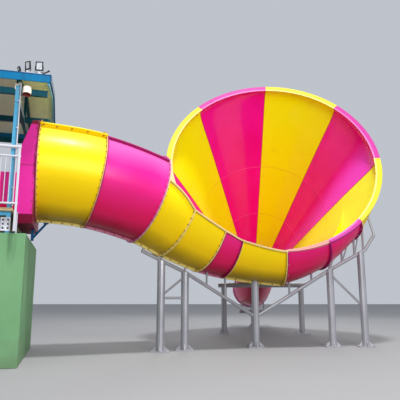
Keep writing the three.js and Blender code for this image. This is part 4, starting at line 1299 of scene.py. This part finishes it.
# Trims: darker strips on top of both fascias, and pale linings inside the barge boards with a corner block
trim = {
    "low": 5.578, "high": 5.6095, "front": -1.5655, "thickness": 0.0095, "inside": 0.003, "lining": 0.022,
    "liningLow": -0.21, "liningHigh": -0.075, "near": 0.02, "far": 1.9,
    "corner": 0.035, "cornerNear": 1.82, "cornerLow": 5.4, "cornerHigh": 5.55,
}
left, right, middle = roof["left"], roof["right"], roof["ridge"]
strips = [
    block((left, near, trim["low"]), (right, near + trim["thickness"], trim["high"]), 0.002)
    for near in (trim["front"], 2 * middle - trim["front"] - trim["thickness"])
]
handOver(onTower(joinAll(strips, "fascia_trim")), [coats["darkBluePaint"]])
halfDepth = middle - roof["front"]
slopeUp = math.atan2(roof["rise"], halfDepth)
linings = []
for end, way in ((right - trim["inside"], -1), (left + trim["inside"], 1)):
    for side in (-1, 1):
        low, high = sorted((end, end + way * trim["lining"]))
        near, far = sorted((-side * trim["near"], -side * trim["far"]))
        strip = block((low, near, trim["liningLow"]), (high, far, trim["liningHigh"]), 0.003)
        strip.data.transform(Matrix.Rotation(-side * slopeUp, 4, "X"))
        strip.data.transform(Matrix.Translation((0, middle + side * halfDepth, roof["eaveTop"])))
        low, high = sorted((end, end + way * trim["corner"]))
        near, far = sorted((middle + side * trim["cornerNear"], middle + side * trim["far"]))
        linings += [strip, block((low, near, trim["cornerLow"]), (high, far, trim["cornerHigh"]), 0.003)]
handOver(onTower(joinAll(linings, "gable_lining")), [coats["skyBluePaint"]])

# Thin downpipe in front of the right column, with its clips
pipe = {"t": -0.436, "w": -1.4, "low": 2.95, "high": 5.43, "radius": 0.012, "clips": (3.3, 3.9, 4.5, 5.05)}
t, w = pipe["t"], pipe["w"]
pieces = [rod((t, w, pipe["low"]), (t, w, pipe["high"]), pipe["radius"])]
for z in pipe["clips"]:
    pieces.append(block((t - 0.03, w - 0.016, z), (t + 0.018, w + 0.06, z + 0.02), 0.003))
handOver(onTower(joinAll(pieces, "downpipe")), [coats["whitePaint"]])

# Thin post beside the deck's corner, with a plate at each end
thinPost = {
    "t": -0.355, "w": -1.22, "low": 2.45, "high": 2.86, "radius": 0.014, "half": 0.03, "thick": 0.006,
}
t, w, low, high, half, thick = [thinPost[key] for key in ("t", "w", "low", "high", "half", "thick")]
pieces = [rod((t, w, low), (t, w, high), thinPost["radius"])]
for z in (low, high - thick):
    pieces.append(block((t - half, w - half, z), (t + half, w + half, z + thick), 0.001))
handOver(onTower(joinAll(pieces, "thin_post")), [coats["whitePaint"]])

# Heads of the front columns: a cover plate in front of the beams, up to the eave, with pale clamps
cover = {
    "columns": (-3.9, -0.5), "half": 0.04, "front": -1.352, "rear": -1.3405, "low": 5.06, "high": 5.445,
    "boltSide": 0.024, "boltHeights": (5.085, 5.27, 5.33),
}
clampBoxes = [
    ((-0.05, -1.372, 5.40), (0.02, -1.352, 5.44), 0.004),
    ((0.01, -1.385, 5.415), (0.08, -1.352, 5.47), 0.004),
    ((-0.055, -1.36, 5.32), (-0.038, -1.33, 5.40), 0.003),
]
covers, clamps, coverBolts = [], [], []
for t in cover["columns"]:
    left, right = t - cover["half"], t + cover["half"]
    covers.append(block((left, cover["front"], cover["low"]), (right, cover["rear"], cover["high"]), 0.003))
    for low, high, bevel in clampBoxes:
        clamps.append(block((t + low[0], *low[1:]), (t + high[0], *high[1:]), bevel))
    for at in (t - cover["boltSide"], t + cover["boltSide"]):
        for z in cover["boltHeights"]:
            coverBolts.append((towerMatrix @ Vector((at, cover["front"], z)), towerFront))
handOver(onTower(joinAll(covers, "column_covers")), [coats["skyBluePaint"]])
handOver(onTower(joinAll(clamps, "column_clamps")), [coats["creamPaint"]])
bolts("cover_bolts", coverBolts, zincLook, size=0.6)


# Loudspeaker: a cup that opens downwards on a bracket
speaker = {
    "t": -0.31, "w": -1.46, "low": 5.17, "high": 5.325, "radius": 0.085, "wall": 0.012, "hollow": 0.11,
    "narrow": 0.55, "lean": -12, "neck": 0.018, "arm": 0.012, "armRear": -1.339,
}
speakerLooks = [coats["creamPaint"], gels["boltRed"]]


def loudspeaker():
    t, w, low, high, arm = [speaker[key] for key in ("t", "w", "low", "high", "arm")]
    deselect()
    bpy.ops.mesh.primitive_cylinder_add(
        vertices=32, radius=speaker["radius"], depth=high - low, location=(t, w, (low + high) / 2))
    cup = settle(bpy.context.object)
    bpy.ops.object.mode_set(mode="EDIT")
    bpy.ops.mesh.select_mode(type="FACE")
    work = bmesh.from_edit_mesh(cup.data)
    for face in work.faces:
        face.select = len(face.verts) > 4 and face.normal.z < -0.5
    bmesh.update_edit_mesh(cup.data)
    bpy.ops.mesh.inset(thickness=speaker["wall"])
    bpy.ops.transform.translate(value=(0, 0, speaker["hollow"]))
    bpy.ops.transform.resize(value=(speaker["narrow"], speaker["narrow"], 1), center_override=(t, w, 0))
    bpy.ops.mesh.select_all(action="SELECT")
    bpy.ops.mesh.normals_make_consistent(inside=False)
    bpy.ops.object.mode_set(mode="OBJECT")
    smoothEdges(cup, 0.006, 3)
    hinge = Matrix.Translation((t, w, high))
    cup.data.transform(hinge @ Matrix.Rotation(math.radians(speaker["lean"]), 4, "X") @ hinge.inverted())
    neck = rod((t, w, high - 0.01), (t, w, high + 0.035), speaker["neck"])
    bracket = block((t - arm, w - arm, high + 0.025), (t + arm, speaker["armRear"], high + 0.04), 0.002)
    for piece in (cup, neck, bracket):
        for look in speakerLooks:
            piece.data.materials.append(look)
    for face in cup.data.polygons:
        inwards = Vector((t - face.center.x, w - face.center.y, 0))
        if face.normal.dot(inwards) > 0.01 or (face.normal.z < -0.5 and inwards.length < 0.02):
            face.material_index = 1
    return joinAll([cup, neck, bracket], "loudspeaker")


handOver(onTower(loudspeaker()), speakerLooks)


# Floodlights on the front eave: a thin black frame, a pale panel with diodes, a stirrup and a white base
lampShape = {
    "w": -1.5, "deep": 0.035, "frame": 0.016, "recess": 0.006, "finPitch": 0.016, "finDepth": 0.012,
    "arm": 0.003, "armGap": 0.006,
}
lampLooks = [coats["blackPaint"], lampLook]


def floodlight(name, t, z, wide, high, turn, lean):
    half, deep, pitch, arm = wide / 2, lampShape["deep"], lampShape["finPitch"], lampShape["arm"]
    body = block((-half, -deep / 2, 0), (half, deep / 2, high), 0.006, 3)
    pick(body)
    bpy.ops.object.mode_set(mode="EDIT")
    bpy.ops.mesh.select_mode(type="FACE")
    work = bmesh.from_edit_mesh(body.data)
    front = max(work.faces, key=lambda face: face.calc_area() * (1 if face.normal.y < -0.9 else 0))
    for face in work.faces:
        face.select = face == front
    bmesh.update_edit_mesh(body.data)
    bpy.ops.mesh.inset(thickness=lampShape["frame"])
    bpy.ops.transform.translate(value=(0, lampShape["recess"], 0))
    bpy.ops.object.mode_set(mode="OBJECT")
    finEnd = deep / 2 + lampShape["finDepth"]
    fin = block((-half + 0.01, deep / 2 - 0.002, 0.012), (-half + 0.014, finEnd, high - 0.012), 0.001)
    count = int((wide - 0.02) / pitch)
    made = [body] + copyTo(fin, [Matrix.Translation((i * pitch, 0, 0)) for i in range(count)])
    for side in (-1, 1):
        at = side * (half + lampShape["armGap"])
        made.append(block((at - arm, -0.01, -0.03), (at + arm, 0.01, high / 2), 0.001))
    made.append(block((-half - 0.009, -0.01, -0.036), (half + 0.009, 0.01, -0.03), 0.001))
    lamp = joinAll(made, name)
    for look in lampLooks:
        lamp.data.materials.append(look)
    panes = [face for face in lamp.data.polygons
             if face.normal.y < -0.9 and -deep / 2 + 0.003 < face.center.y < 0]
    max(panes, key=lambda face: face.area).material_index = 1
    lamp.data.transform(Matrix.Rotation(math.radians(lean), 4, "X"))
    lamp.data.transform(Matrix.Rotation(math.radians(turn), 4, "Z"))
    lamp.data.transform(Matrix.Translation((t, lampShape["w"], z)))
    return onTower(lamp)


# Along the tower, height, width, height of the panel, turn and lean
floodlights = {
    "floodlight_side": (-0.472, 5.65, 0.10, 0.085, -70, 20),
    "floodlight_middle": (-0.318, 5.70, 0.125, 0.165, -38, 6),
    "floodlight_right": (-0.105, 5.70, 0.15, 0.185, -8, 6),
}
for name, shape in floodlights.items():
    handOver(floodlight(name, *shape), lampLooks)
lampBase = {"half": 0.028, "front": -1.525, "rear": -1.475, "low": 5.585, "gap": 0.034}
bases = []
for t, z, *rest in floodlights.values():
    left, right = t - lampBase["half"], t + lampBase["half"]
    top = z - lampBase["gap"]
    bases.append(block((left, lampBase["front"], lampBase["low"]), (right, lampBase["rear"], top), 0.004))
bases.append(block((-0.46, -1.508, 5.628), (0.0, -1.492, 5.642), 0.002))
lampArm = [
    rod((-0.03, -1.5, 5.64), (0.085, -1.5, 5.715), 0.014),
    rod((0.066, -1.5, 5.703), (0.092, -1.5, 5.72), 0.018),
    block((-0.045, -1.512, 5.626), (-0.005, -1.488, 5.652), 0.003),
]
handOver(onTower(joinAll(lampArm, "lamp_arm")), [coats["blackPaint"]])
handOver(onTower(joinAll(bases, "floodlight_bases")), [coats["whitePaint"]])


# Plate with six holes on the right front column, with a black backing that shows through them, painted shade
# inside the holes
plate = {
    "left": -0.63, "right": -0.45, "low": 2.484, "high": 2.744, "front": -1.353, "rear": -1.345,
    "hole": 0.018, "side": 0.045, "across": 0.09, "foot": 0.05, "up": 0.08, "backing": 0.005,
}


def holedPlate():
    left, right, low, high = [plate[side] for side in ("left", "right", "low", "high")]
    sheet = block((left, plate["front"], low), (right, plate["rear"], high), 0.001)
    cutters = []
    for column in range(2):
        for row in range(3):
            t, z = left + plate["side"] + column * plate["across"], low + plate["foot"] + row * plate["up"]
            cutters.append(rod((t, -1.4, z), (t, -1.3, z), plate["hole"], 20, 0))
    cutter = joinAll(cutters, "cutter")
    subtract(sheet, cutter)
    bpy.data.objects.remove(cutter)
    # the black backing is painted shade seen through the holes
    edge = plate["backing"]
    backing = block((left + edge, -1.3445, low + edge), (right - edge, -1.341, high - edge), 0.001)
    made = joinAll([sheet, backing], "holed_plate")
    for look in (coats["whitePaint"], coats["blackPaint"]):
        made.data.materials.append(look)
    for face in made.data.polygons:
        face.material_index = 1 if face.center.y > -1.3448 else 0
    return made


handOver(onTower(holedPlate()), [coats["whitePaint"], coats["blackPaint"]])

# Guard railings: pipe rails and round pickets between square posts
rail = {
    "top": 4.11, "topRadius": 0.03, "second": 3.925, "secondRadius": 0.018,
    "bottom": 3.0, "bottomRadius": 0.02,
    "post": 0.042, "foot": 2.8603, "picket": 0.0085, "pitch": 0.09, "outside": 0.0303, "end": 0.03,
    "cap": 0.028, "guardStart": 1.11, "frontExtra": 0.085,
}


def railing(name, length, stands, matrix):
    made = []
    for height, radius in (("top", "topRadius"), ("second", "secondRadius"), ("bottom", "bottomRadius")):
        made.append(rod((0.001, 0, rail[height]), (length - 0.001, 0, rail[height]), rail[radius], 20, 0.004))
    count = round(length / rail["pitch"])
    picket = rod((0, 0, rail["bottom"] + 0.01), (0, 0, rail["second"] - 0.01), rail["picket"], 10, 0)
    made += copyTo(picket, [Matrix.Translation((length * i / count, 0, 0)) for i in range(1, count)])
    half = rail["post"] / 2
    post = block((-half, -half, rail["foot"]), (half, half, rail["top"] + rail["cap"]), 0.005)
    made += copyTo(post, [Matrix.Translation((at, 0, 0)) for at in stands])
    obj = joinAll(made, name + "_pipes")
    obj.data.transform(towerMatrix @ matrix)
    return handOver(obj, [coats["whitePaint"]], [name])


left, right, front, rear = [deck[side] for side in ("left", "right", "front", "rear")]
across, deep, out = right - left, rear - front, rail["outside"]
# Name, length, posts between its ends, where it starts, turn
railings = [
    ("railing_front", across + rail["frontExtra"], [across / 2], (left, front - out, 0), 0),
    ("railing_rear", across, [across / 2], (left, rear + out, 0), 0),
    ("railing_left", deep, [deep / 2], (left - out, front, 0), 90),
    ("railing_right", rear - rail["guardStart"], [], (right + out, rail["guardStart"], 0), 90),
]
for name, length, between, start, turn in railings:
    stands = [rail["end"]] + between + [length - rail["end"]]
    railing(name, length, stands, Matrix.Translation(start) @ Matrix.Rotation(math.radians(turn), 4, "Z"))

# Bolts along the hood's edge
hoodEdge = {"t": -0.12, "w": -1.05, "low": 2.95, "high": 4.65, "count": 9}
edgeHeights = steps(hoodEdge["low"], hoodEdge["high"], hoodEdge["count"])
hoodBolts = [(towerMatrix @ Vector((hoodEdge["t"], hoodEdge["w"], z)), towerFront) for z in edgeHeights]
bolts("hood_bolts", hoodBolts, gels["boltRed"], size=0.8)
print("tower details made")


# Camera, floor and light
camera = {"place": (0.37, -12.2, 1.3), "pitch": 10.97, "focal": 490 / 400 * 36}
bpy.ops.object.camera_add(location=camera["place"], rotation=(math.radians(90 + camera["pitch"]), 0, 0))
view = bpy.context.object
view.data.sensor_width = 36
view.data.lens = camera["focal"]
scene.camera = view

bpy.ops.mesh.primitive_grid_add(x_subdivisions=4, y_subdivisions=4, size=120, location=(0, 0, -0.002))
floor = bpy.context.object
floor.name = "floor"
floorMaterial, floorTree, floorShader, floorPlace = newMaterial("paleFloor", 0.8, specular=0.2)
clouds = noise(floorTree, floorPlace, 0.3, 3)
floorColour = blendColours(floorTree, clouds, (0.30, 0.30, 0.31), (0.35, 0.35, 0.35))
floorTree.links.new(floorColour, floorShader.inputs["Base Color"])
floor.data.materials.append(floorMaterial)

# Each light's place, size and power, and what they all point at
target = Vector((0.5, 1.5, 3.5))
lights = {
    "key": ((2.6, -7.9, 23.2), 2.0, 4300),
    "front": ((6.5, -17.0, 8.0), 8.0, 2100),
    "back": ((3.0, 16.0, 13.0), 9.0, 900),
}
for name, (place, size, power) in lights.items():
    aim = (target - Vector(place)).to_track_quat("-Z", "Y").to_euler()
    bpy.ops.object.light_add(type="AREA", location=place, rotation=aim)
    light = bpy.context.object
    light.name = name + "Light"
    light.data.shape = "SQUARE"
    light.data.size = size
    light.data.energy = power
world = bpy.data.worlds.new("studio")
scene.world = world
world.use_nodes = True
sky = world.node_tree.nodes["Background"]
sky.inputs["Color"].default_value = (0.86, 0.91, 1.0, 1)
sky.inputs["Strength"].default_value = 0.6
print("camera and lights set")
